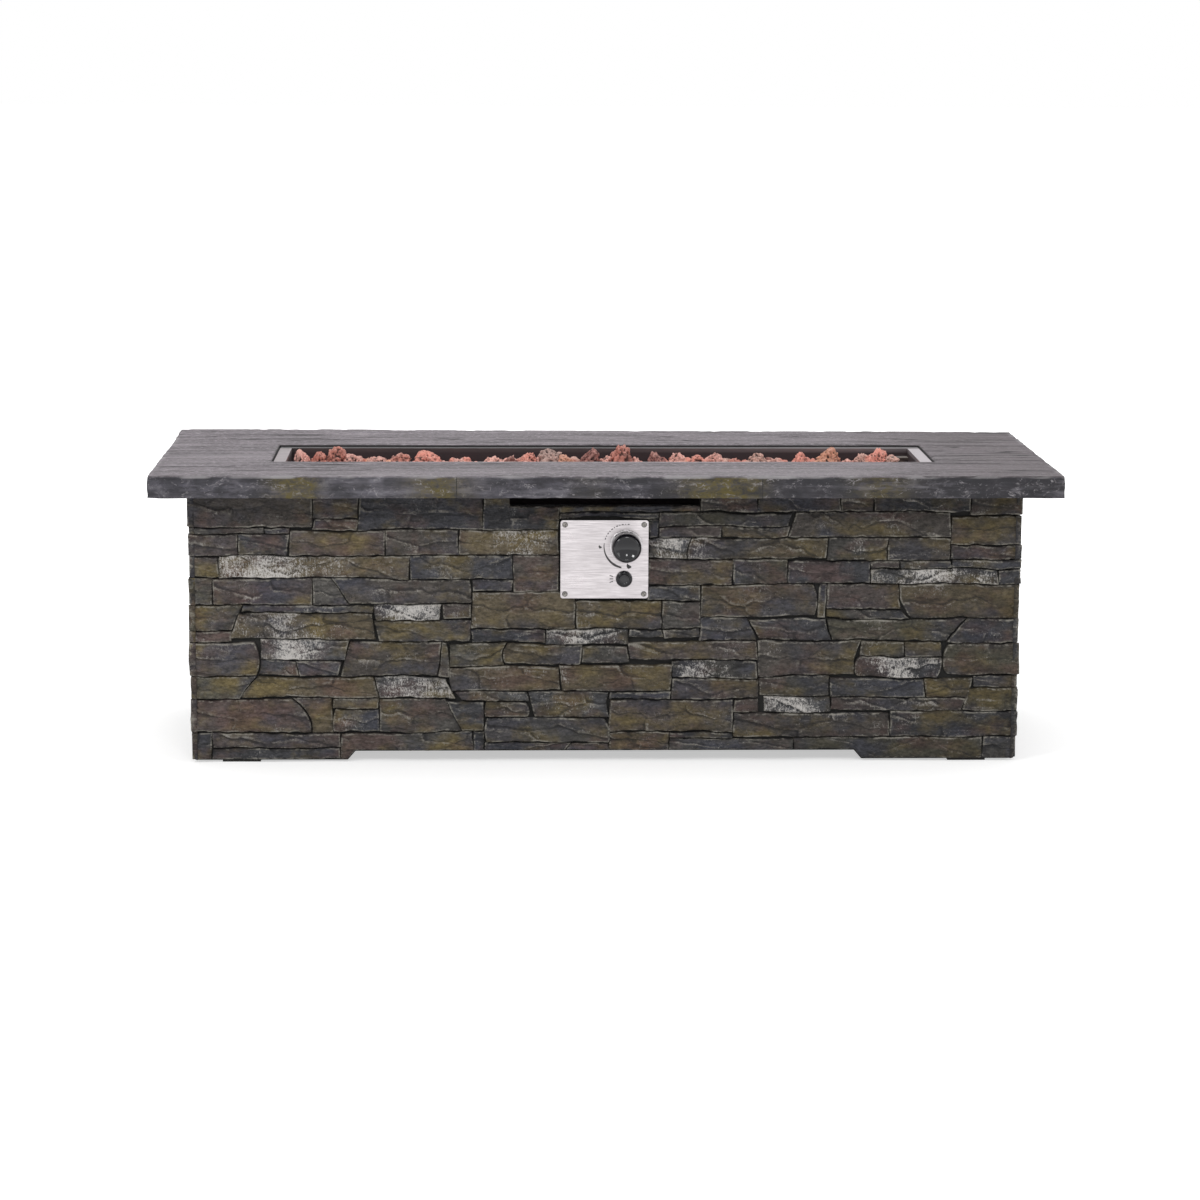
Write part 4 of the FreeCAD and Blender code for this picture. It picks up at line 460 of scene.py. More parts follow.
def noise(point, seed=0):
    """Smooth random heights from -1 to 1 at rows of x, y, z: the numbers of the eight lattice corners
    round each point, blended by 3t^2 - 2t^3 along each axis."""
    whole = np.floor(point)
    part = point - whole
    blend = part * part * (3 - 2 * part)
    total = 0
    for dx in (0, 1):
        for dy in (0, 1):
            for dz in (0, 1):
                share = ((blend[0] if dx else 1 - blend[0]) * (blend[1] if dy else 1 - blend[1])
                         * (blend[2] if dz else 1 - blend[2]))
                total = total + share * lattice((whole[0] + dx, whole[1] + dy, whole[2] + dz), seed)
    return 2 * total - 1


def rough(point, seed=0, octaves=4):
    """Rock-like heights, mostly from -1 to 1: noise at doubling fineness and halving height."""
    return sum(noise(point * 2 ** k, seed + 7 * k) / 2 ** k for k in range(octaves)) / 1.5


def grid_faces(rows, columns, rows_closed=False, columns_closed=False, start=0):
    """Corner numbers of the quads between neighbouring points of a grid stored row by row."""
    i, j = np.meshgrid(np.arange(rows if rows_closed else rows - 1),
                       np.arange(columns if columns_closed else columns - 1), indexing="ij")
    below, beside = (i + 1) % rows, (j + 1) % columns
    return start + np.stack([i * columns + j, i * columns + beside, below * columns + beside,
                             below * columns + j], -1).reshape(-1, 4)


def grid_rim(rows, columns):
    """Numbers of the points round the rim of such a grid, in order."""
    number = np.arange(rows * columns).reshape(rows, columns)
    return np.concatenate([number[0, :-1], number[:-1, -1], number[-1, :0:-1], number[:0:-1, 0]])


def stops(length, step):
    """Places across a stone: close together at both broken edges and evenly spaced between them."""
    inner = max(int(round((length - 2 * stone_edge[-1]) / step)), 1)
    middle = np.linspace(stone_edge[-1], length - stone_edge[-1], inner + 1)
    if middle[0] >= middle[-1]:
        return np.linspace(0, length, 8)
    return np.concatenate([stone_edge[:-1], middle, length - stone_edge[:-1][::-1]])


def split_planes(u, v, count, seed):
    """Heights of a split face: count tilted planes side by side, each holding the ground nearest to its
    own middle, with a narrow blend between neighbours."""
    order = np.arange(count)[:, None, None]
    middle_u = u.max() * (order + 0.2 + 0.6 * lattice((order, seed, 0), 71)) / count
    middle_v = v.max() * (0.15 + 0.5 * (order % 2) + 0.2 * lattice((order, seed, 1), 72))
    place = np.stack([u * 60, v * 60, np.full_like(u, seed * 1.7)])
    far_u = u + 0.008 * noise(place, 73) - middle_u
    far_v = v + 0.004 * noise(place, 74) - middle_v
    share = np.exp(-np.minimum(((far_u / 3.4) ** 2 + far_v ** 2) / 0.000016, 600))
    plane = (-0.0022 * lattice((order, seed, 2), 75) + far_u * 0.07 * (lattice((order, seed, 3), 76) - 0.5)
             + far_v * 0.26 * (lattice((order, seed, 4), 77) - 0.5))
    return (share * plane).sum(axis=0) / (share.sum(axis=0) + 1e-250)


def above_around(height, reach):
    """How far each point of a face stands above the mean of the four points reach steps away from it:
    more than 0 on a ridge and less in a cleft."""
    wide = np.pad(height, reach, mode="edge")
    beside = wide[2 * reach:, reach:-reach] + wide[:-2 * reach, reach:-reach]
    return height - (beside + wide[reach:-reach, 2 * reach:] + wide[reach:-reach, :-2 * reach]) / 4


def end_line(offsets, share):
    """The quadratic curve through an end's offsets at the foot, half height and the head."""
    foot, middle, head = offsets
    return (foot * (1 - share) * (1 - 2 * share) + 4 * middle * share * (1 - share)
            + head * share * (2 * share - 1))


def stone_face(left, right, low, high, depth, seed, step, ends, foot_at, head_at, wall_half):
    """One stone as heights over the wall. The height is the stone's depth and its split planes, rough
    noise and thin cracks along the zero line of a slow noise, all times a rounded shoulder, which is
    1 - (1 - d/r)^3 at a distance d below r from an edge. Its ends follow their lines and its outline
    wanders."""
    u, v = np.meshgrid(stops(right - left, step), stops(high - low, step), indexing="ij")
    su, sv = u / (right - left), v / (high - low)
    x = left + u + (1 - su) * end_line(ends[0], sv) + su * end_line(ends[1], sv)
    edge_place = np.stack([x * 55, np.full_like(x, seed * 2.3), np.zeros_like(x)])
    foot = np.maximum(low, foot_at(x)) + 0.0020 * np.clip(noise(edge_place, 15), 0, 1)
    head = np.minimum(high, head_at(x)) - 0.0020 * np.clip(noise(edge_place, 16), 0, 1)
    z = foot + sv * (head - foot)
    place = np.stack([x, z, np.full_like(x, seed * 3.1)])
    clefts = rough(place * np.array([26, 75, 1])[:, None, None], seed, 5)
    beds = rough(place * np.array([9, 120, 1])[:, None, None], seed + 3, 2) * lattice((seed, 9, 0), 6)
    chips = rough(place * np.array([120, 120, 1])[:, None, None], seed + 5, 2)
    crack_line = noise(place * np.array([12, 24, 1])[:, None, None], 9) + 0.12 * clefts
    crack = np.exp(-(crack_line / 0.03) ** 2) * np.clip(3 * noise(place * 9, 10), 0, 1)
    count = min(1 + int((right - left) * (high - low) / 0.0022 + lattice((seed, 9, 1), 6)), 4)
    planes = split_planes(u, v, count, seed)
    near = np.minimum(np.minimum(u, (right - left) - u), np.minimum(v, (high - low) - v))
    radius = np.maximum(0.0022 + 0.0018 * chips, 0.0007)
    shoulder = 1.0
    for edge in (u, (right - left) - u, z - z.min(axis=1, keepdims=True), z.max(axis=1, keepdims=True) - z):
        shoulder = shoulder * (1 - (1 - np.clip(edge / radius, 0, 1)) ** 3)
    height = depth - 0.0002 + planes + 0.0008 * clefts + 0.0006 * beds + 0.0003 * chips - 0.0012 * crack
    out = shoulder * np.clip(height, 0.002, depth + 0.0006)
    split = planes + 0.0006 * clefts + 0.0005 * beds
    # Relief is above 0 on ridges and below in clefts and cracks: the paint lightens ridges, partly as
    # dry-brush and partly as painted highlight, and darkens clefts as painted shade.
    relief = above_around(split, 1) / 0.00013 + above_around(split, 3) / 0.0010 - 1.2 * crack
    # A band just inside each edge, on the rounded shoulder, painted lighter: partly wear and partly painted
    # highlight.
    edge_wear_and_highlight = np.exp(-((near - 0.0018) / 0.0012) ** 2)
    # Painted shade: 1 at the stone's outline and fading to 0 eight millimetres in, it darkens each stone near
    # its joints.
    shade = np.clip(1 - near / 0.008, 0, 1)
    rim = (u <= 0) | (u >= right - left) | (v <= 0) | (v >= high - low)
    out = np.where(rim, -0.001, out)
    window = np.clip((wall_half - abs(x)) / 0.03, 0, 1) * np.clip((z - 0.006) / 0.02, 0, 1)
    window = window * np.clip((0.424 - z) / 0.02, 0, 1)
    bend = np.stack([x, z, np.zeros_like(x)]) * 21
    x = x + window * (0.0014 * noise(bend, 11) + 0.0008 * noise(bend * 4, 12))
    z = z + window * (0.0021 * noise(bend * np.array([0.6, 1, 1])[:, None, None], 13)
                      + 0.0009 * noise(bend * 4, 14))
    return np.stack([x, -out, z], -1), {"relief": np.clip(relief, -1, 1), "edge_wear_and_highlight": edge_wear_and_highlight, "shade": shade}, su


def wall_of_stones(name, stones, wall_half, core_half, turn, step, foot_at, head_at):
    """All the stones of one wall, in pieces of whole stones. A stone's rim lies just inside the plain
    wall and is closed by one face behind. Turn is the quarter turns from the front wall."""
    cosine, sine = round(math.cos(turn * math.pi / 2)), round(math.sin(turn * math.pi / 2))
    points, quads, backs, start = [], [], [], 0
    looks = {"tint": [], "frost": [], "relief": [], "edge_wear_and_highlight": [], "shade": [], "stone": []}
    for index, (left, right, low, high, tint) in enumerate(stones):
        depth = stone_depths[low % 3]
        reach = wall_half - max(stone_depths) + depth
        span = [(edge / round(2000 * wall_half) - 0.5) * 2 * wall_half for edge in (left, right)]
        span = [max(span[0] - stone_joint, -reach), min(span[1] + stone_joint, reach)]
        rise = [max(low / 1000 - stone_joint, pad_height + 0.001), min(high / 1000 + stone_joint, stone_top)]
        seed = index + 1 + 40 * turn
        ends = []
        for end, given in enumerate(end_shapes.get((left, low), (None, None))):
            lean = 0.0017 * (2 * lattice((seed, 6 + end, 0), 4) - 1) * (abs(span[end]) < wall_half - 0.02)
            ends.append(np.array([-lean, 0, lean]) if given is None else np.array(given) / 1000)
        face, marks_left, along = stone_face(*span, *rise, depth, seed, step, ends, foot_at, head_at,
                                             wall_half)
        middle, half, strength = frosted.get((left, low), (0.5, 1.0, plain_frost))
        frost = strength * np.maximum(np.exp(-1.6 * ((along - middle) / half) ** 2), plain_frost)
        rows, columns = face.shape[:2]
        face = face.reshape(-1, 3)
        y = face[:, 1] - core_half
        points.append(np.stack([cosine * face[:, 0] - sine * y, sine * face[:, 0] + cosine * y,
                                face[:, 2]], -1))
        quads.append(grid_faces(rows, columns, start=start))
        backs.append(start + grid_rim(rows, columns)[None, ::-1])
        shade = 0.78 + 0.36 * lattice((seed, 5, 0), 1)
        for key, value in {"tint": np.tile(np.array(tints[tint]) * shade, (len(face), 1)),
                           "frost": frost.ravel(),
                           "stone": np.full(len(face), lattice((seed, 8, 0), 3)),
                           **{key: value.ravel() for key, value in marks_left.items()}}.items():
            looks[key].append(value)
        start += len(face)
        if sum(len(part) for part in quads) > piece_quads or index == len(stones) - 1:
            new_piece(f"{name}_{index:03d}", np.concatenate(points), [np.concatenate(quads), *backs],
                      stone_paint, slot="cast_stone",
                      attributes={key: np.concatenate(values) for key, values in looks.items()})
            points, quads, backs, start = [], [], [], 0
            looks = {key: [] for key in looks}


stone_paint = Finish("stone_paint", roughness=0.7, specular=0.3)
stone_tint = stone_paint.add("Attribute", output="Color", attribute_name="tint")
stone_relief, stone_frost, stone_edge_wear_and_highlight, stone_shade, stone_number = stone_paint.painted(
    "relief", "frost", "edge_wear_and_highlight", "shade", "stone")
stone_x = stone_paint.along("X")

# Each stone's number shifts its patterns, so that they start afresh on every stone.
stone_shift = stone_paint.add("CombineXYZ", {0: stone_number, 1: stone_number, 2: stone_number})
stone_shift = stone_paint.add("VectorMath", {0: stone_shift, 1: (9.0, 5.0, 7.0)}, operation="MULTIPLY")
stone_paint.place = stone_paint.add("VectorMath", {0: stone_paint.place, 1: stone_shift}, operation="ADD")
stone_grain = stone_paint.noise(150, (1, 1, 1.8), 6.0, 0.7)
stone_streak = stone_paint.noise(36, (1, 1, 3.2), 7.0, 0.65)
stone_patches = stone_paint.noise(26, (1, 1, 1.2), 4.0, 0.6)
stone_ochre, stone_plum, stone_blue = [stone_paint.noise(scale, (1, 1, 1.5), 5.0, 0.6)
                                       for scale in (9, 11, 8)]
stone_colour = stone_paint.coats(
    stone_tint,
    (stone_ochre, 0.49, 0.62, 0.0, 0.80, (0.138, 0.106, 0.044)),
    (stone_plum, 0.50, 0.64, 0.0, 0.62, (0.094, 0.056, 0.049)),
    (stone_blue, 0.49, 0.62, 0.0, 0.80, (0.046, 0.048, 0.064)))
# The first factor is painted light: the stones are painted brighter at the left and darker at the right, as
# the light falls off across the wall.
for light in (stone_paint.between(stone_x, -0.60, 0.60, 1.24, 0.80),
              stone_paint.between(stone_streak, 0.34, 0.66, 0.58, 1.42),
              stone_paint.between(stone_grain, 0.34, 0.66, 0.62, 1.40)):
    light = stone_paint.add("CombineColor", {0: light, 1: light, 2: light})
    stone_colour = stone_paint.blend(1.0, stone_colour, light, "MULTIPLY")
# Painted shade near each stone's joints, broken into patches.
stone_joint_shade = stone_paint.math("MULTIPLY", stone_shade,
                              stone_paint.between(stone_patches, 0.3, 0.6, 0.75, 0.25))
stone_colour = stone_paint.blend(stone_joint_shade, stone_colour, (0.020, 0.019, 0.020))
# Painted shade: the colour goes near black where the relief is below 0, in the clefts.
stone_colour = stone_paint.coats(stone_colour, (stone_relief, -0.2, -1.0, 0.0, 0.62, (0.012, 0.012, 0.013)))
stone_broken = stone_paint.between(stone_paint.math("ADD", stone_patches, stone_grain), 0.94, 1.16)
# Ridges and the band along each edge are painted lighter in patches: partly dry-brush and wear, partly
# painted highlight.
for ridge, low, most, brushed in ((stone_relief, 0.10, 0.70, (0.26, 0.24, 0.205)),
                                  (stone_edge_wear_and_highlight, 0.1, 1.0, (0.36, 0.34, 0.295))):
    ridge = stone_paint.math("MULTIPLY", stone_paint.between(ridge, low, 1.0, 0.0, most), stone_broken)
    stone_colour = stone_paint.blend(ridge, stone_colour, brushed)
frost_lines = stone_paint.noise(300, (1, 1, 0.40), 4.0, 0.8)
frost_specks = stone_paint.noise(480, (1, 1, 0.8), 2.0, 0.8)
frost_level = stone_paint.math("MULTIPLY", stone_paint.math("ADD", frost_lines, frost_specks), 0.5)
for value, low, high, to_low, to_high in (
        (stone_patches, 0.3, 0.7, -0.10, 0.10), (stone_relief, -1, 1, -0.07, 0.05),
        (stone_frost, 0.0, 1.0, -0.19, 0.01)):
    frost_level = stone_paint.math("ADD", frost_level, stone_paint.between(value, low, high, to_low, to_high))
frost_share = stone_paint.math("MULTIPLY", stone_paint.between(frost_level, 0.43, 0.57),
                               stone_paint.between(stone_frost, 0.0, 0.9, 0.30, 0.95))
stone_paint.apply(stone_paint.blend(frost_share, stone_colour, (0.68, 0.65, 0.62)),
                  stone_paint.math("ADD", stone_grain, stone_streak), 0.0024,
                  stone_paint.between(stone_grain, 0.3, 0.7, 0.82, 0.58))


def toe_foot(x):
    """Height of the recess between the feet at a place along a long wall."""
    share = np.clip((recess_half + recess_slant - abs(x)) / recess_slant, 0, 1)
    return share * (recess_top - pad_height) + pad_height + 0.001


def vent_head(x):
    """Height that a long wall's stones may reach: the vent slot's foot or the slab."""
    return np.where((x > vent_left) & (x < vent_right), vent_foot, slab_under)


def slab_head(x):
    """An end wall's stones may reach the slab all along."""
    return np.full_like(x, slab_under)


for turn, (side, stones, wall_half, core_half, step, foot_at, head_at) in enumerate((
        ("front", front_stones, base_half_length, core_half_width, 0.0017, toe_foot, vent_head),
        ("right", end_stones, base_half_width, core_half_length, 0.0023, np.zeros_like, slab_head),
        ("rear", front_stones + panel_place_stones, base_half_length, core_half_width, 0.0023, toe_foot,
         lambda x: vent_head(-x)),
        ("left", end_stones, base_half_width, core_half_length, 0.0023, np.zeros_like, slab_head))):
    wall_of_stones(f"{side}_stones", stones, wall_half, core_half, turn, step, foot_at, head_at)

# The slab is one casting that hangs over the casing, with a cleft top, rock-faced edges and a
# rectangular cut-out whose rebate takes the pan. Its grey carries long streaks and a little moss.
slab_half_length, slab_half_width, slab_top = 0.711, 0.286, 0.463
hole_half_length, hole_half_width = 0.516, 0.091
rebate_half_length, rebate_half_width, rebate_floor = 0.531, 0.106, 0.4595
slab_columns_long, slab_columns_short = 500, 201
slab_raised, deepest_scoop, edge_zone = 0.0014, 0.0034, 0.006

slab_section = [((hole_half_length, hole_half_width, slab_under), 1),
                ((hole_half_length, hole_half_width, rebate_floor), 1),
                ((rebate_half_length, rebate_half_width, rebate_floor), 2),
                ((rebate_half_length, rebate_half_width, slab_top), 37),
                ((slab_half_length - 0.0009, slab_half_width - 0.0009, slab_top), 2),
                ((slab_half_length, slab_half_width, slab_top - 0.0010), 20),
                ((slab_half_length, slab_half_width, slab_under), 5)]
slab_rows = np.concatenate([
    np.linspace(here, after, count, endpoint=False) for (here, count), (after, _) in
    zip(slab_section, slab_section[1:] + slab_section[:1])])
slab_turn = np.concatenate([
    np.column_stack([np.linspace(-1, 1, slab_columns_long, endpoint=False), np.full(slab_columns_long, -1)]),
    np.column_stack([np.full(slab_columns_short, 1), np.linspace(-1, 1, slab_columns_short, endpoint=False)]),
    np.column_stack([np.linspace(1, -1, slab_columns_long, endpoint=False), np.full(slab_columns_long, 1)]),
    np.column_stack([np.full(slab_columns_short, -1), np.linspace(1, -1, slab_columns_short, endpoint=False)])
])
slab = np.stack([slab_rows[:, None, 0] * slab_turn[None, :, 0], slab_rows[:, None, 1] * slab_turn[None, :, 1],
                 np.broadcast_to(slab_rows[:, None, 2], (len(slab_rows), len(slab_turn)))])


def scaled(point, x, y, z):
    """A grid of points with each axis multiplied, as cycles of noise."""
    return point * np.array([x, y, z])[:, None, None]


def scoops(point, seed):
    """Shallow scoops between sharp ridges: the size of a smooth noise, which is 0 along its ridges."""
    return abs(noise(point, seed)) + 0.35 * abs(noise(point * 2.3, seed + 1))


slab_cleft = rough(scaled(slab, 3.2, 26, 8), 31, 5)
slab_terrace = (np.tanh(7 * noise(scaled(slab, 1.7, 15, 3), 32)) * 0.5
                + np.tanh(9 * noise(scaled(slab, 4, 34, 3), 33)) * 0.3)
on_top = np.clip((slab[2] - slab_top + 0.0009) / 0.0008, 0, 1)
to_edge = np.maximum(np.clip((abs(slab[0]) - slab_half_length + 0.012) / 0.010, 0, 1),
                     np.clip((abs(slab[1]) - slab_half_width + 0.012) / 0.010, 0, 1))
from_rebate = np.clip(np.maximum(abs(slab[0]) - rebate_half_length,
                                 abs(slab[1]) - rebate_half_width) / edge_zone, 0, 1)
edge_scoops = scoops(scaled(slab, 24, 24, 48), 34)
edge_rough = rough(scaled(slab, 55, 55, 110), 37, 3)
edge_wave = np.clip(noise(scaled(slab, 6, 6, 3), 38), 0, 1)
edge_depth = np.clip(0.0026 * edge_scoops + 0.0004 * edge_rough + 0.0006 * edge_wave - 0.0009, 0,
                     deepest_scoop)
at_side = [np.clip((abs(slab[axis]) - half + edge_zone) / edge_zone, 0, 1)
           for axis, half in ((0, slab_half_length), (1, slab_half_width))]
slab_moved = slab.copy()
for axis in (0, 1):
    slab_moved[axis] -= np.sign(slab[axis]) * at_side[axis] * edge_depth * (1 - 0.35 * on_top)
arris_chip = to_edge * np.clip(noise(scaled(slab, 60, 60, 0), 39)
                               + 0.5 * noise(scaled(slab, 150, 150, 0), 40), 0, 1)
left_part = np.clip((0.75 - slab[0]) / 1.2, 0, 1)
rear_rise = 0.0034 * np.clip((slab[1] - 0.11) / 0.17, 0, 1) * left_part
slab_moved[2] += on_top * from_rebate * (rear_rise + slab_raised + 0.0006 * slab_cleft
                                         + 0.0006 * slab_terrace - 0.0010 * arris_chip)
under_edge = np.clip((slab_under + 0.0025 - slab[2]) / 0.0025, 0, 1) * to_edge
slab_moved[2] += under_edge * 0.0008 * np.clip(0.5 + noise(scaled(slab, 35, 35, 1), 36), 0, 1.5)
# Relief is high on raised parts and low in clefts and scoops; the paint darkens the low parts as painted
# shade and lightens the high parts as painted highlight.
slab_relief = np.where(on_top > 0, np.clip(0.8 * slab_cleft + 0.5 * slab_terrace, -1, 1),
                       np.clip(0.75 - 2.3 * edge_scoops + 0.5 * edge_rough, -1, 1))
# The rebate's walls and floor get relief -1, so the paint turns them near black as painted shadow.
slab_relief = np.where((from_rebate <= 0) & (to_edge <= 0), -1, slab_relief)
slab_face = (1 - on_top) * to_edge
# A band along the top edge of the rock faces, painted lighter in patches as a painted highlight.
slab_arris = to_edge * np.exp(-((slab[2] - slab_top + 0.0008) / 0.0016) ** 2) * np.clip(
    0.4 + 1.2 * noise(scaled(slab, 40, 40, 0), 41), 0, 1)
moss_places = ((-0.490, 0.030, 1.0), (-0.465, 0.02, 0.7), (-0.262, 0.040, 1.0), (0.160, 0.045, 1.0),
               (0.215, 0.03, 0.7), (0.425, 0.040, 0.6), (-0.03, 0.03, 0.15))
slab_moss = sum(share * np.exp(-((slab[0] - place) / half) ** 2) for place, half, share in moss_places)
slab_moss = np.clip(slab_moss * slab_face * (slab[1] < 0), 0, 1)

slate = Finish("cast_slate_paint", roughness=0.6, specular=0.3)
slate_relief, slate_moss, slate_face, slate_arris = slate.painted("relief", "moss", "face", "arris")
slate_x, slate_y = slate.along("X"), slate.along("Y")
slate_streak = slate.noise(9, (0.7, 9, 6), 9.0, 0.68)
slate_fine = slate.noise(55, (0.12, 1.6, 1), 6.0, 0.7)
slate_fleck = slate.noise(230, (0.5, 1, 1), 4.0, 0.75)
slate_mottle = slate.noise(46, (1, 1, 1.9), 9.0, 0.78, 0.4)
slate_gaps = slate.math("ADD", slate.noise(4, (1, 2, 2)), slate.between(slate_x, 0.40, 0.58, 0.0, 0.30))
slate_crack_and_rebate_shadow = slate.hairline(slate.noise(5, (0.42, 5.5, 3), 5.0, 0.5, 0.3), 0.5, 0.014, 0.004)
slate_crack_and_rebate_shadow = slate.math("MULTIPLY", slate_crack_and_rebate_shadow, slate.between(slate_gaps, 0.44, 0.56))
# Painted shadow: where the relief is near -1, in the rebate, the colour goes near black along with the
# cracks.
slate_crack_and_rebate_shadow = slate.math("MAXIMUM", slate_crack_and_rebate_shadow, slate.between(slate_relief, -0.80, -1.0))
slate_crack_and_rebate_shadow = slate.math("MULTIPLY", slate_crack_and_rebate_shadow, slate.between(slate_face, 0.0, 0.6, 1.0, 0.0))
slate_top = slate.coats(
    (0.098, 0.086, 0.096),
    (slate_streak, 0.33, 0.67, 0.0, 1.0, (0.352, 0.312, 0.340)),
    (slate_fine, 0.53, 0.36, 0.0, 0.75, (0.070, 0.062, 0.068)),
    (slate_fleck, 0.47, 0.36, 0.0, 0.6, (0.080, 0.070, 0.078)),
    (slate_fleck, 0.53, 0.66, 0.0, 0.85, (0.44, 0.405, 0.43)),
    # Painted shade where the top's relief is low and painted highlight where it is high.
    (slate_relief, -0.2, -0.9, 0.0, 0.45, (0.075, 0.068, 0.073)),
    (slate_relief, 0.3, 0.9, 0.0, 0.3, (0.36, 0.335, 0.35)),
    (slate_x, 0.36, 0.60, 0.0, 0.56, (0.105, 0.088, 0.092)))
slate_edge = slate.coats(
    (0.036, 0.034, 0.041),
    (slate_mottle, 0.36, 0.64, 0.0, 1.0, (0.150, 0.143, 0.172)),
    (slate_streak, 0.40, 0.62, 0.0, 0.5, (0.105, 0.100, 0.108)),
    # Painted shade: the edges grow darker towards the right, as the light falls off.
    (slate_x, -0.25, 0.50, 0.0, 0.88, (0.030, 0.028, 0.032)),
    (slate_fine, 0.50, 0.37, 0.0, 0.70, (0.026, 0.024, 0.029)),
    (slate_fine, 0.52, 0.64, 0.0, 0.60, (0.235, 0.224, 0.255)),
    # Painted shade in the scoops of the edge.
    (slate_relief, -0.1, -0.9, 0.0, 0.6, (0.026, 0.026, 0.030)))
slate_ridge = slate.hairline(slate.noise(36, (1, 1, 1.6), 5.0, 0.6, 0.6), 0.5, 0.024, 0.005)
slate_seam = slate.math("MAXIMUM", *[slate.hairline(slate_x, place, 0.0011, 0.0003)
                                     for place in (-0.234, 0.240)])
slate_seam = slate.math("MULTIPLY", slate_seam, slate.between(slate_y, 0, -0.1))
for share, low, high, least, most, coat in (
        # The first coat is painted highlight on the raised parts of the edge, in patches.
        (slate.between(slate_relief, 0.1, 0.7, 0.0, 0.35), 0.44, 0.60, 0.0, 1.0, (0.30, 0.29, 0.31)),
        (slate_moss, 0.40, 0.56, 0.1, 0.95, (0.128, 0.102, 0.030)),
        (slate_ridge, 0.50, 0.60, 0.0, 0.9, (0.36, 0.34, 0.355)),
        (slate_seam, 0.40, 0.50, 0.3, 0.9, (0.018, 0.018, 0.018))):
    share = slate.math("MULTIPLY", share, slate.between(slate_mottle, low, high, least, most))
    slate_edge = slate.blend(share, slate_edge, coat)
# The top is painted far lighter than the rock-faced edges; part of that stands for the light that falls on
# the top from above, as painted light.
slate_colour = slate.coats(slate.blend(slate_face, slate_top, slate_edge),
                           # Painted highlight along the top edge.
                           (slate_arris, 0.15, 0.9, 0.0, 0.75, (0.42, 0.40, 0.41)))
slate_colour = slate.blend(slate_crack_and_rebate_shadow, slate_colour, (0.022, 0.020, 0.022))
slate_height = slate.math("ADD", *[slate.math("MULTIPLY", grain, 0.8)
                                   for grain in (slate_fine, slate_mottle)])
slate.apply(slate_colour, slate.math("SUBTRACT", slate_height, slate_crack_and_rebate_shadow), 0.0030,
            slate.between(slate_streak, 0.3, 0.7, 0.55, 0.75))
new_piece("slab", np.moveaxis(slab_moved, 0, -1).reshape(-1, 3),
          [grid_faces(len(slab_rows), len(slab_turn), True, True)], slate, ["table_top"], "cast_slate",
          attributes={"relief": slab_relief.ravel(), "moss": slab_moss.ravel(), "face": slab_face.ravel(),
                      "arris": slab_arris.ravel()})

# Rubber feet under the casing's corners and folded steel brackets with bolts that hold the slab: rubber
# is matt and dusty, and the brackets are zinc plated with a fine grey spangle.
def dress(finish, *names):
    """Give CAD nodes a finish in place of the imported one."""
    for name in names:
        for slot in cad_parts[name].material_slots:
            slot.material = finish.material


def worn_finish(name, colour, second, scale, stretch=(1, 1, 1), metallic=0.0, roughness=(0.4, 0.6)):
    """A finish whose colour and roughness wander between two values with one noise, which also lifts
    its surface a little."""
    finish = Finish(name, metallic)
    grain = finish.noise(scale, stretch, 6.0, 0.6)
    finish.apply(finish.coats(colour, (grain, 0.35, 0.65, 0.0, 1.0, second)), grain, 0.0002,
                 finish.between(grain, 0.3, 0.7, *roughness))
    return finish


pad_rubber = worn_finish("pad_rubber", (0.020, 0.020, 0.020), (0.045, 0.043, 0.040), 140,
                         roughness=(0.8, 0.95))
zinc_steel = worn_finish("zinc_steel", (0.42, 0.43, 0.44), (0.58, 0.58, 0.57), 90, metallic=1.0,
                         roughness=(0.3, 0.5))
dress(pad_rubber, "foot_pads")
dress(zinc_steel, "top_brackets", "bracket_bolts", "heat_shield")

# The pan is folded stainless steel whose wide flange lies in the slab's rebate. The flange has a brushed
# grain along its length, is painted brighter to the right as a painted reflection and darker along the
# rear as painted shade, and the walls below it are darker.
pan_rim_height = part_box("burner_pan")[1].z
pan_steel = Finish("pan_steel", metallic=1.0)
pan_grain, pan_stain = pan_steel.noise(34, (0.3, 5, 5), 7.0, 0.7), pan_steel.noise(11, detail=4.0)
pan_x, pan_y, pan_z = [pan_steel.along(axis) for axis in "XYZ"]
# The walls are darker below the rim, and rougher.
pan_below_rim_dark = pan_steel.between(pan_z, pan_rim_height - 0.0016, pan_rim_height - 0.008)
# Painted shade along the rear flange, darkest at the left.
pan_rear_shade = pan_steel.math("MULTIPLY", pan_steel.between(pan_y, 0.080, 0.086),
                          pan_steel.between(pan_x, 0.0, 0.45, 1.0, 0.7))
# Its last coat is a painted reflection: the flange grows brighter towards the right.
pan_bright = pan_steel.coats(
    (0.22, 0.190, 0.198),
    (pan_grain, 0.3, 0.7, 0.0, 1.0, (0.39, 0.345, 0.358)),
    (pan_stain, 0.52, 0.72, 0.0, 0.5, (0.24, 0.21, 0.20)),
    (pan_x, -0.45, 0.40, 0.0, 0.6, (0.54, 0.505, 0.53)))
pan_bright = pan_steel.blend(pan_rear_shade, pan_bright, (0.045, 0.040, 0.042))
pan_steel.apply(pan_steel.blend(pan_below_rim_dark, pan_bright, (0.070, 0.056, 0.060)), pan_grain, 0.0002,
                pan_steel.between(pan_below_rim_dark, 0.0, 1.0, 0.42, 0.75))
dress(pan_steel, "burner_pan")

# Fine crushed lava covers the burner: red-brown volcanic stone, broken and sieved, poured in loose up to
# the pan's flange. It is one layer of grit with small stones pressed into it.
bed_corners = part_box("lava_bed")
bed_half_length, bed_half_width, bed_level = bed_corners[1]
bed_low = bed_corners[0].z


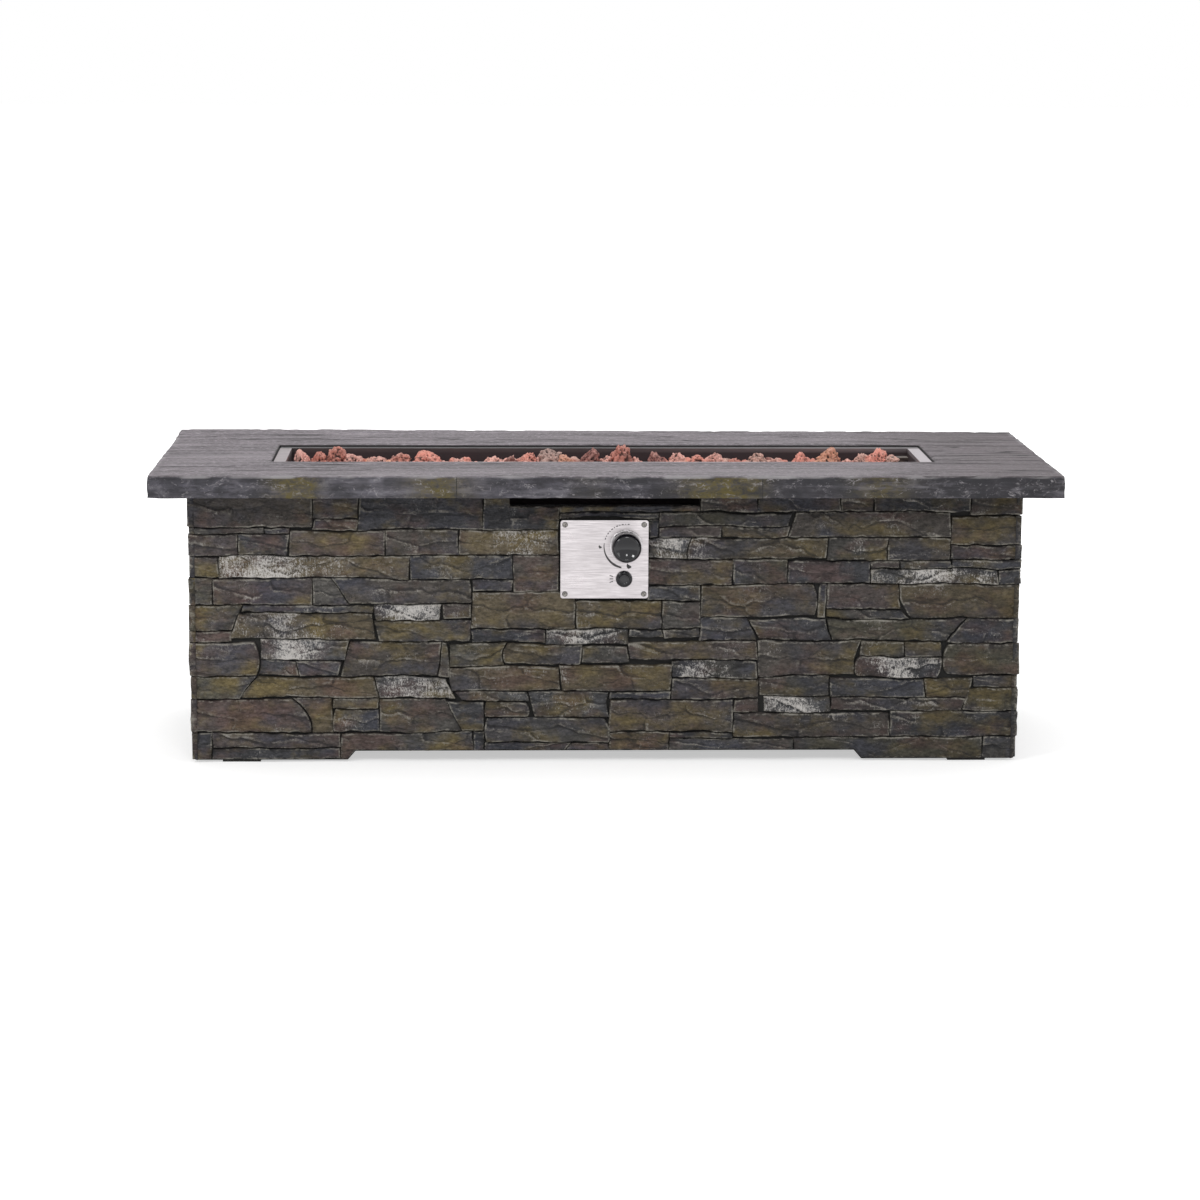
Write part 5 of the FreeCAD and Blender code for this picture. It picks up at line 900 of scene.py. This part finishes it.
def unit_ball(cuts):
    """Points and quads of a round ball: each of a cube's six faces is cut into squares and every point
    is moved to distance 1 from the middle."""
    across = np.tan(np.linspace(-1, 1, cuts + 1) * math.pi / 4)
    a, b = np.meshgrid(across, across, indexing="ij")
    one = np.ones_like(a)
    sides = np.stack([np.stack(side, -1) for side in (
        (one, a, b), (-one, b, a), (b, one, a), (a, -one, b), (a, b, one), (b, a, -one))])
    points = sides.reshape(-1, 3)
    points = points / np.linalg.norm(points, axis=1)[:, None]
    quads = np.concatenate([grid_faces(cuts + 1, cuts + 1, start=k * (cuts + 1) ** 2) for k in range(6)])
    rounded, number = np.unique(np.round(points, 5), axis=0, return_inverse=True)
    return rounded, number.reshape(-1)[quads]


rock_tints = {
    "red": (0.820, 0.330, 0.260), "rose": (0.900, 0.480, 0.410), "dark": (0.350, 0.150, 0.130),
    "orange": (0.880, 0.430, 0.290), "ash": (0.560, 0.390, 0.345), "tan": (0.720, 0.440, 0.370),
}
rock_cuts = 11


def lava(cuts, middle, half, tints_used, seeds):
    """Rough stones. Each is a ball cut by planes: along a direction it reaches the least of the planes'
    distances over the cosines to them, softened by a power mean. Noise at three sizes makes it knobbly,
    and pits open where a finer noise runs low. Middle and half give place and half size of each."""
    ball, quads = unit_ball(cuts)
    points, faces, colours, relief_and_top_light = [], [], [], []
    plane = np.arange(rock_cuts)
    for index, (place, size, tint, seed) in enumerate(zip(middle, half, tints_used, seeds)):
        facing = np.stack([lattice((plane, seed, axis), 81) - 0.5 for axis in (0, 1, 2)], -1)
        facing /= np.linalg.norm(facing, axis=1)[:, None]
        away = 0.62 + 0.34 * lattice((plane, seed, 3), 82)
        reach = 1 / ((np.clip(ball @ facing.T, 0.001, 1) / away) ** 9).sum(axis=1) ** (1 / 9)
        where = (ball + seed * 5.1).T
        lumps = 0.16 * noise(where * 2.1, 1) + 0.13 * noise(where * 4.3, 2) + 0.08 * noise(where * 8.5, 3)
        pits = np.clip(-0.1 - noise(where * 6.5, 4), 0, 0.6) if cuts > 6 else np.zeros(len(ball))
        shape = ball * (np.clip(reach, 0.5, 1.15) + lumps - 0.30 * pits)[:, None]
        shape /= abs(shape).max(axis=0)
        points.append(place + shape * size)
        faces.append(quads + index * len(ball))
        colours.append(np.tile(np.array(rock_tints[tint]) * (0.8 + 0.4 * lattice((seed, 3, 1), 5)),
                               (len(ball), 1)))
        # A rock's relief is its lumps less its pits plus a share of how far up each point faces, so the paint
        # lights the tops and shades the undersides as painted light.
        relief_and_top_light.append(np.clip(0.30 * ball[:, 2] + 2.6 * lumps - 2.0 * pits, -1, 1))
    return (np.concatenate(points), [np.concatenate(faces)],
            {"tint": np.concatenate(colours), "relief": np.concatenate(relief_and_top_light)})


rock_paint = Finish("lava_stone", roughness=0.9)
rock_tint = rock_paint.add("Attribute", output="Color", attribute_name="tint")
rock_relief, = rock_paint.painted("relief")
rock_cells, rock_holes = [rock_paint.texture("Voronoi", scale, (1, 1, 1), "Distance") for scale in (300, 640)]
rock_blotch = rock_paint.noise(70, detail=6.0, fineness=0.7)
rock_paint.apply(
    rock_paint.coats(
        rock_tint,
        (rock_blotch, 0.50, 0.72, 0.0, 0.6, (0.85, 0.52, 0.45)),
        (rock_blotch, 0.44, 0.28, 0.0, 0.7, (0.080, 0.036, 0.032)),
        # Painted highlight where the relief is high, on lumps and tops, and painted shade where it is low, in
        # pits and on undersides.
        (rock_relief, 0.25, 0.9, 0.0, 0.5, (0.92, 0.60, 0.52)),
        (rock_relief, 0.05, -0.7, 0.0, 0.9, (0.030, 0.017, 0.016)),
        (rock_cells, 0.26, 0.08, 0.0, 0.65, (0.045, 0.023, 0.021)),
        (rock_holes, 0.24, 0.10, 0.0, 0.5, (0.060, 0.030, 0.027))),
    rock_paint.math("ADD", rock_paint.between(rock_cells, 0.0, 0.45),
                    rock_paint.math("MULTIPLY", rock_holes, 0.5)), 0.0025)

bed_steps = (341, 58)
bed_grid = np.stack(np.meshgrid(*[np.linspace(-half, half, steps) for half, steps in zip(
    (bed_half_length, bed_half_width), bed_steps)], indexing="ij"))
bed_grit, bed_lumps = [noise(np.stack([*(bed_grid * scale), np.zeros_like(bed_grid[0])]), seed)
                       for scale, seed in ((160, 51), (45, 52))]
bed_top = np.stack([*bed_grid, bed_level - 0.0035 + 0.0015 * bed_grit + 0.002 * bed_lumps], -1).reshape(-1, 3)
bed_rim = grid_rim(*bed_steps)
bed_foot = bed_top[bed_rim] * np.array([1, 1, 0]) + np.array([0, 0, bed_low])
bed_below = len(bed_top) + np.arange(len(bed_rim))
bed_sides = np.stack([bed_rim, np.roll(bed_rim, -1), np.roll(bed_below, -1), bed_below], -1)
new_piece("crushed_bed", np.concatenate([bed_top, bed_foot]),
          [grid_faces(*bed_steps)[:, ::-1], bed_sides[:, ::-1], bed_below[None, :]],
          rock_paint, ["lava_bed"], "lava", attributes={
              "tint": np.tile(rock_tints["dark"], (len(bed_top) + len(bed_foot), 1)),
              "relief": np.concatenate([np.clip(bed_grit.ravel(), -1, 1), np.zeros(len(bed_foot))])})

# Larger lava rocks lie in three rows: the middle row by the photograph, with middle, width and rise
# over the slab in millimetres, and a lower row along each side. Small ones fill the gaps.
middle_rocks = [
    (-487, 30, 9, "rose"), (-460, 30, 4, "red"), (-431, 32, 12, "red"), (-406, 42, 2, "rose"),
    (-369, 34, -1, "rose"), (-330, 36, 2, "red"), (-282, 46, 7, "red"), (-234, 28, -8, "rose"),
    (-209, 26, -9, "red"), (-180, 38, -3, "rose"), (-149, 30, 2, "dark"), (-118, 38, 2, "red"),
    (-83, 42, 11, "ash"), (-57, 40, 0, "orange"), (-22, 36, 9, "dark"), (6, 30, 3, "rose"),
    (31, 36, 19.8, "red"), (55, 32, -3, "rose"), (88, 34, 3, "dark"), (122, 36, 4, "rose"),
    (156, 38, 1, "red"), (186, 38, 3, "rose"), (217, 34, -6, "red"), (253, 38, 4, "tan"),
    (291, 36, -6, "rose"), (323, 38, 6, "red"), (371, 50, 14, "orange"), (404, 34, -3, "rose"),
    (424, 28, 3, "tan"), (449, 42, 10, "red"), (470, 44, 1, "tan"),
]
side_rock_rises = [14, 9, 17, 11, 15, 8, 13]
side_tints = ["red", "rose", "red", "orange", "rose", "red", "dark", "rose", "red", "tan", "red"]
side_rock_count, side_row_y, rock_pitch = 24, 0.0567, 0.042
rock_row_half, rock_sink = 0.0275, 0.004


def row_of_rocks(name, places, tints_used, seed, nodes_replaced=()):
    """Rocks between foot and head at their places: middle x and y, half length, head height."""
    x, y, half_length, head = np.array(places).T
    foot = bed_level - rock_sink
    middle = np.stack([x, y, (head + foot) / 2], -1)
    half = np.stack([half_length, np.full_like(x, rock_row_half), (head - foot) / 2], -1)
    points, faces, looks = lava(20, middle, half, tints_used, [seed + k for k in range(len(x))])
    new_piece(name, points, faces, rock_paint, nodes_replaced, "lava", attributes=looks)


row_of_rocks("rocks_middle", [(x / 1000, (k % 3 - 1) * 0.0015, width / 2000 + 0.001, slab_top + rise / 1000)
                              for k, (x, width, rise, tint) in enumerate(middle_rocks)],
             [rock[3] for rock in middle_rocks], 3, ["lava_rocks"])
for side, side_name in ((-1, "front"), (1, "rear")):
    row_of_rocks(f"rocks_{side_name}", [
        ((k - (side_rock_count - 1) / 2) * rock_pitch, side * side_row_y, rock_pitch / 2 + 0.001,
         bed_level + (side_rock_rises[(k + 3 * (side > 0)) % 7] - 4 + 13 * (side < 0)) / 1000)
        for k in range(side_rock_count)],
        [side_tints[(k * 3 + 5 * (side > 0)) % 11] for k in range(side_rock_count)], 60 + 40 * side)

filler_count = 420
filler_order = np.arange(filler_count)
filler_x = (lattice((filler_order, 1, 0), 61) - 0.5) * 2 * (bed_half_length - 0.014)
filler_y = (lattice((filler_order, 2, 0), 62) - 0.5) * 2 * (bed_half_width - 0.014)
filler_size = 0.007 + 0.006 * lattice((filler_order, 3, 0), 63)
filler_z = bed_level + 0.003 + 0.009 * lattice((filler_order, 4, 0), 64)
filler_half = filler_size[:, None] * (0.8 + 0.4 * np.stack(
    [lattice((filler_order, k, 0), 65) for k in (5, 6, 7)], -1))
small_points, small_faces, small_looks = lava(
    5, np.stack([filler_x, filler_y, filler_z], -1), filler_half,
    [side_tints[k % 11] for k in range(filler_count)], list(range(200, 200 + filler_count)))
new_piece("rocks_small", small_points, small_faces, rock_paint, slot="lava", attributes=small_looks)

# The burner is a straight stainless tube with its nut, air mixer and brass jet under the pan. At its
# right end the pilot has a folded hood, a spark electrode in ceramic and a copper-sheathed probe.
fired_steel = worn_finish("fired_steel", (0.30, 0.25, 0.21), (0.52, 0.48, 0.46), 45, (0.4, 1, 1), 1.0,
                          (0.3, 0.6))
brass = worn_finish("brass", (0.62, 0.43, 0.17), (0.78, 0.57, 0.27), 120, metallic=1.0,
                    roughness=(0.22, 0.42))
aluminium = worn_finish("aluminium", (0.66, 0.67, 0.68), (0.82, 0.82, 0.82), 200, metallic=1.0,
                        roughness=(0.3, 0.5))
ceramic = worn_finish("ceramic", (0.72, 0.69, 0.62), (0.84, 0.82, 0.78), 60, roughness=(0.25, 0.4))
copper = worn_finish("copper", (0.58, 0.28, 0.16), (0.80, 0.45, 0.30), 90, metallic=1.0,
                     roughness=(0.25, 0.5))
sooted_steel = worn_finish("sooted_steel", (0.035, 0.030, 0.030), (0.14, 0.115, 0.10), 60, metallic=1.0,
                           roughness=(0.5, 0.8))
dress(fired_steel, "burner_tube", "burner_nut")
dress(sooted_steel, "pilot_hood")
dress(aluminium, "air_mixer")
dress(brass, "gas_orifice")
dress(ceramic, "spark_electrode")
dress(copper, "thermocouple")

# The control panel is a plate of brushed stainless steel with rounded corners, held by a screw at each
# corner. Its grain runs from left to right, and its settings are etched dark: a scale that swells from
# low to high, a small and a large flame, and three spark strokes at the igniter.
panel_steel = Finish("brushed_stainless", metallic=1.0)
panel_grain = panel_steel.noise(520, (0.045, 1, 1), 6.0, 0.75)
panel_smear = panel_steel.noise(16, (1, 1, 1.6), 3.0)
panel_colour = panel_steel.coats((0.385, 0.356, 0.366),
                                 (panel_grain, 0.34, 0.62, 0.0, 1.0, (0.625, 0.589, 0.600)),
                                 (panel_smear, 0.5, 0.75, 0.0, 0.35, (0.46, 0.43, 0.44)))
panel_steel.apply(panel_colour, panel_grain, 0.0001, panel_steel.between(panel_smear, 0.3, 0.7, 0.26, 0.40))
dress(panel_steel, "control_panel")

screw_steel = worn_finish("screw_steel", (0.03, 0.028, 0.027), (0.34, 0.32, 0.30), 420, metallic=1.0,
                          roughness=(0.25, 0.45))
dress(screw_steel, "panel_screws")


def round_node(name):
    """A round node that faces the front: its axis's x and z, its radius, its front and its back."""
    low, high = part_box(name)
    return (low.x + high.x) / 2, (low.z + high.z) / 2, (high.x - low.x) / 2, low.y, high.y


knob_x, knob_z, knob_radius, knob_front, knob_back = round_node("control_knob")
button_x, button_z, button_reach, button_front, button_back = round_node("igniter_button")
panel_low, panel_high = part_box("control_panel")
mark_height, dial_radius = 0.00012, 0.0348
screw_inset, screw_shadow_radius = 0.007, 0.0044


def marks(outlines):
    """Thin solid marks on the panel: each outline of x and z, taken anticlockwise as seen from the
    front, has a front face, a hidden back face and a band of quads between them."""
    points, faces, start = [], [], 0
    for outline in outlines:
        count = len(outline)
        ring = np.asarray(outline)
        front = np.stack([ring[:, 0], np.full(count, panel_low.y - mark_height), ring[:, 1]], -1)
        points += [front, front + np.array([0, mark_height, 0])]
        here = start + np.arange(count)
        after = start + (np.arange(count) + 1) % count
        faces += [here[None, :], here[::-1][None, :] + count,
                  np.stack([here, here + count, after + count, after], -1)]
        start += 2 * count
    return np.concatenate(points), faces


def dial_point(degrees, radius):
    """A point of x and z on a circle round the knob, anticlockwise from the right."""
    angle = np.radians(degrees)
    return np.stack([knob_x + radius * np.cos(angle), knob_z + radius * np.sin(angle)], -1)


def flame(x, z, height):
    """A flame's outline: a drop whose half width follows sin(pi t) (1.25 - t), with a leaning tip."""
    t = np.linspace(0, 1, 14)
    half = 0.52 * np.sin(math.pi * t) * (1.25 - t)
    lean = 0.16 * np.sin(1.6 * math.pi * t)
    rise = np.stack([x + height * (half + lean), z + height * (t - 0.5)], -1)
    fall = np.stack([x + height * (-half + lean), z + height * (t - 0.5)], -1)[::-1]
    return np.concatenate([rise, fall[1:-1]])


tick_count, first_tick, tick_pitch = 11, 84, 7.6
scale_angle = np.linspace(172, 258, 40)
scale_half = np.interp(scale_angle, [172, 240, 258], [0.0005, 0.0019, 0.0012])
dial_marks_and_screw_shadows = [np.concatenate([dial_point(scale_angle, dial_radius + scale_half),
                              dial_point(scale_angle, dial_radius - scale_half)[::-1]])]
for tick in range(tick_count):
    tick_angle = first_tick + tick_pitch * tick
    half_arc, steps = ((2.4, 6), (1.3, 4))[tick % 2]
    across = np.linspace(tick_angle + half_arc, tick_angle - half_arc, steps)
    dial_marks_and_screw_shadows.append(np.concatenate([dial_point(across, dial_radius - 0.0008),
                                      dial_point(across[::-1], dial_radius + 0.0008)]))
dial_marks_and_screw_shadows += [flame(knob_x - 0.0415, knob_z - 0.0010, 0.0058),
               flame(knob_x + 0.0035, knob_z - 0.0318, 0.0088)]
for spark in (-1, 0, 1):
    start = np.array([button_x - 0.0172, button_z + 0.0038 * spark])
    end = np.array([button_x - 0.0228, button_z + 0.0056 * spark])
    wide = np.array([0, 0.0007])
    dial_marks_and_screw_shadows.append(np.array([end - wide, start - wide, start + wide, end + wide]))
# A dark ring round each screw head is painted shadow, drawn with the etched marks.
ring_turn = np.linspace(0, 2 * math.pi, 25)[:-1]
for screw_x in (panel_low.x + screw_inset, panel_high.x - screw_inset):
    for screw_z in (panel_low.z + screw_inset, panel_high.z - screw_inset):
        dial_marks_and_screw_shadows.append(np.stack([screw_x + screw_shadow_radius * np.cos(ring_turn),
                                    screw_z + screw_shadow_radius * np.sin(ring_turn)], -1))
etch_and_shadow_paint = worn_finish("etched_mark_and_screw_shadow", (0.030, 0.029, 0.030), (0.075, 0.072, 0.073), 900, roughness=(0.5, 0.7))
new_piece("panel_marks_and_screw_shadows", *marks(dial_marks_and_screw_shadows), etch_and_shadow_paint, slot="stainless", smooth=False)

# The knob is gloss black plastic with a round crest and a shallow dish in its face, on a steel stem and
# in a pressed bezel ring.
def turned(rows, x, z, segments=96, ring=False):
    """A turned piece on an axis along Y: each row is a radius and a y, carried round the axis. A row
    with no radius is one point. A ring's last row joins its first."""
    rows = np.asarray(rows, float)
    body = rows if ring else rows[1:-1]
    angle = np.arange(segments) * 2 * math.pi / segments
    points = np.stack([x + body[:, 0, None] * np.cos(angle), np.repeat(body[:, 1, None], segments, 1),
                       z + body[:, 0, None] * np.sin(angle)], -1).reshape(-1, 3)
    if ring:
        return points, [grid_faces(len(rows), segments, True, True)]
    ends = np.array([(x, rows[0, 1], z), (x, rows[-1, 1], z)])
    here = np.arange(segments)
    after = (here + 1) % segments
    last = (len(body) - 1) * segments
    near = np.stack([np.full(segments, len(points)), after, here], -1)
    far = np.stack([np.full(segments, len(points) + 1), here + last, after + last], -1)
    return np.concatenate([points, ends]), [grid_faces(len(body), segments, False, True), near, far]


def rounded_rows(corners, radius, steps=5):
    """Rows of a profile with each inner corner rounded: a quadratic curve from radius before the
    corner to radius after it."""
    corners = np.asarray(corners, float)
    rows = [corners[:1]]
    t = np.linspace(0, 1, steps)[:, None]
    for before, corner, after in zip(corners, corners[1:], corners[2:]):
        start = corner + (before - corner) * min(radius / np.linalg.norm(before - corner), 0.45)
        end = corner + (after - corner) * min(radius / np.linalg.norm(after - corner), 0.45)
        rows.append((1 - t) ** 2 * start + 2 * t * (1 - t) * corner + t ** 2 * end)
    return np.concatenate(rows + [corners[-1:]])


gloss_black = Finish("gloss_black")
gloss_dust = gloss_black.noise(160, detail=5.0)
gloss_colour = gloss_black.coats((0.004, 0.004, 0.007),
                                 (gloss_dust, 0.5, 0.8, 0.0, 1.0, (0.010, 0.010, 0.014)))
gloss_black.apply(gloss_colour, gloss_dust, 0.00002, gloss_black.between(gloss_dust, 0.3, 0.75, 0.05, 0.13))
crest_radius, dish_depth, knob_bevel = 0.0172, 0.0060, 0.0008
knob_rows = [(0, knob_back), (knob_radius - knob_bevel, knob_back), (knob_radius, knob_back - knob_bevel)]
knob_rows += [(crest_radius + (knob_radius - crest_radius) * math.cos(turn),
               knob_front + (knob_back - knob_front) / 2 * (1 - math.sin(turn)))
              for turn in np.linspace(0, math.pi / 2, 14)[:-1]]
knob_rows += [(radius, knob_front + dish_depth * (1 - (radius / crest_radius) ** 2))
              for radius in np.linspace(crest_radius, 0, 24)]
new_piece("knob", *turned(knob_rows, knob_x, knob_z), gloss_black, ["control_knob"], "black_gloss",
          body="knob")

bezel_radius, bezel_front, bezel_back = round_node("knob_bezel")[2:]
bezel_bore = 0.0065
bezel_rows = rounded_rows([(bezel_bore, bezel_back), (bezel_radius, bezel_back), (bezel_radius, bezel_front),
                           (bezel_bore, bezel_front)], 0.0016)
bezel_steel = worn_finish("bezel_steel", (0.42, 0.40, 0.41), (0.58, 0.56, 0.57), 220, metallic=1.0,
                          roughness=(0.22, 0.34))
new_piece("bezel", *turned(bezel_rows, knob_x, knob_z, ring=True), bezel_steel, ["knob_bezel"], "stainless")
dress(screw_steel, "valve_stem")

# The igniter is a black moulded barrel through the panel, held by a nut behind it, with a stepped
# collar in front and a push button that runs in it on a spring, ahead of a small dry cell.
matt_black = worn_finish("matt_black", (0.010, 0.010, 0.011), (0.028, 0.028, 0.029), 300,
                         roughness=(0.3, 0.5))
dress(matt_black, "igniter_body", "igniter_nut")
collar_radius, collar_front, collar_back = round_node("igniter_collar")[2:]
collar_bore = button_reach - 0.0014
collar_rows = rounded_rows([
    (collar_bore, collar_back), (collar_radius, collar_back), (collar_radius, collar_front + 0.0022),
    (collar_radius - 0.0022, collar_front + 0.0006), (collar_radius - 0.0026, collar_front + 0.0012),
    (collar_radius - 0.0032, collar_front), (collar_bore, collar_front)], 0.0008)
new_piece("collar", *turned(collar_rows, button_x, button_z, ring=True), gloss_black, ["igniter_collar"],
          "black_gloss")

button_radius, lip_radius, lip_back = 0.008, 0.00945, button_back - 0.0020
button_rows = rounded_rows([
    (0, button_back), (lip_radius, button_back), (lip_radius, lip_back), (button_radius, lip_back),
    (button_radius, button_front), (button_radius - 0.0016, button_front),
    (button_radius - 0.0026, button_front + 0.0007), (0, button_front + 0.0004)], 0.0007)
new_piece("button", *turned(button_rows, button_x, button_z), gloss_black, ["igniter_button"], "black_gloss",
          body="button")

cell_case = worn_finish("cell_case", (0.10, 0.22, 0.16), (0.16, 0.32, 0.22), 40, (1, 0.3, 1),
                        roughness=(0.25, 0.4))
dress(cell_case, "igniter_battery")

# Two compression springs of hard steel wire: one behind the valve's plunger and one behind the igniter's
# button. Each is wound on a helix with its ends on its two seats.
def tube(path, radius, sides, across):
    """A round tube along a path, closed by a face at each end. Across is a direction that the path
    never runs along; it and the path's own direction give each section's two axes."""
    along = np.gradient(path, axis=0)
    along /= np.linalg.norm(along, axis=1)[:, None]
    side = np.cross(along, np.asarray(across, float))
    side /= np.linalg.norm(side, axis=1)[:, None]
    up = np.cross(side, along)
    angle = np.arange(sides) * 2 * math.pi / sides
    points = (path[:, None] + radius * (np.cos(angle)[None, :, None] * side[:, None]
                                        + np.sin(angle)[None, :, None] * up[:, None])).reshape(-1, 3)
    ends = [np.arange(sides)[None, ::-1], (len(path) - 1) * sides + np.arange(sides)[None, :]]
    return points, [grid_faces(len(path), sides, False, True), *ends]


spring_steel = worn_finish("spring_steel", (0.40, 0.40, 0.41), (0.60, 0.60, 0.60), 400, metallic=1.0,
                           roughness=(0.2, 0.35))
spring_wire, spring_turns = 0.0004, 6
for name, node, joint, coil_radius, x, z, front, back, push in (
        ("valve_coil", "valve_spring", "valve_push", 0.00555, knob_x, knob_z, -0.2067, -0.189, 0.003),
        ("igniter_coil", "igniter_spring", "igniter_press", 0.00445, button_x, button_z, -0.2265, -0.2105,
         0.004)):
    turn = np.linspace(0, 2 * math.pi * spring_turns, 24 * spring_turns + 1)
    coil_path = np.stack([x + coil_radius * np.cos(turn),
                          np.linspace(front + spring_wire, back - spring_wire, len(turn)),
                          z + coil_radius * np.sin(turn)], -1)
    coil = new_piece(name, *tube(coil_path, spring_wire, 10, (0, 1, 0)), spring_steel, [node], "zinc_steel")
    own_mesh(coil)

# The valve is a turned and milled brass block on a zinc bracket behind the panel. The bulkhead inlet
# goes through the rear wall in its round boss, and three plastic clips hold the leads on the front wall.
boss_radius, boss_bore = 0.020, 0.0091
boss_rows = rounded_rows([(boss_bore, core_half_width - 0.001), (boss_radius, core_half_width - 0.001),
                          (boss_radius, base_half_width), (boss_bore, base_half_width)], 0.0015)
new_piece("inlet_boss", *turned(boss_rows, 0, round_node("inlet_locknut")[1], ring=True), concrete,
          slot="cast_stone")
dress(zinc_steel, "valve_bracket", "inlet_locknut")
dress(brass, "valve_body", "gas_inlet", "valve_plunger")
dress(matt_black, "lead_clips")

# The gas and spark lines hang inside the casing between fittings: two black rubber hoses, a rubber
# spark lead and the probe's bare copper capillary. Each follows the route of its solid.
hose_rubber = worn_finish("hose_rubber", (0.014, 0.014, 0.014), (0.034, 0.033, 0.032), 260,
                          roughness=(0.5, 0.75))
lead_rubber = worn_finish("lead_rubber", (0.17, 0.016, 0.012), (0.24, 0.030, 0.022), 300,
                          roughness=(0.4, 0.6))


def hanging_line(name, node, route, diameter, finish):
    """A round line on a NURBS curve of order 3 with the route's points, in millimetres, as its control
    points. It starts and ends in fittings."""
    curve = bpy.data.curves.new(name, "CURVE")
    curve.dimensions = "3D"
    curve.resolution_u = 10
    curve.bevel_depth = diameter / 2
    curve.bevel_resolution = 3
    curve.use_fill_caps = True
    line = curve.splines.new("NURBS")
    line.points.add(len(route) - 1)
    for point, place in zip(line.points, route):
        point.co = (*(value / 1000 for value in place), 1)
    line.order_u = 3
    line.use_endpoint_u = True
    curve.materials.append(finish.material)
    piece = bpy.data.objects.new(name, curve)
    bpy.context.scene.collection.objects.link(piece)
    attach(piece, "casing")
    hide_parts(node)


hanging_line("inlet_hose_line", "inlet_hose", [
    (0, 190, 70), (0, 140, 70), (4, 85, 76), (14, 25, 80), (30, -32, 77), (54, -85, 78), (82, -130, 92),
    (102, -166, 132), (110, -180, 188), (112, -182, 239), (110, -182, 297), (104, -182, 331), (86, -182, 347),
    (58, -182, 347)], 0.010, hose_rubber)
hanging_line("burner_hose_line", "burner_hose", [
    (31, -155, 347), (31, -123, 347), (31, -100, 312), (29, -93, 262), (25, -79, 217), (15, -47, 189),
    (6, -10, 191), (0, 0, 240.5), (0, 0, 310.5)], 0.010, hose_rubber)
hanging_line("spark_lead_line", "ignition_wire", [
    (480.5, 4.8, 370.5), (480.5, 4.8, 345.5), (473.5, -30, 328), (457.5, -90, 318), (439.5, -150, 313),
    (414.5, -199, 312), (359.5, -199, 312), (136, -199, 312), (108, -199, 312), (84, -185, 308),
    (66, -152.5, 302), (52, -134.5, 298), (36, -130.5, 295), (28, -144.5, 295), (28, -164.5, 295)],
    0.003, lead_rubber)
hanging_line("probe_lead_line", "thermocouple_lead", [
    (491.3, -4.8, 370.5), (491.3, -4.8, 342.5), (483.3, -42, 332), (465.3, -98, 325), (445.3, -155, 321),
    (419.3, -199, 320), (368, -199, 320), (-1, -199, 320), (-21, -199, 320), (-39, -195, 328),
    (-40, -186, 343), (-22, -182, 347), (4, -182, 347)], 0.0024, copper)
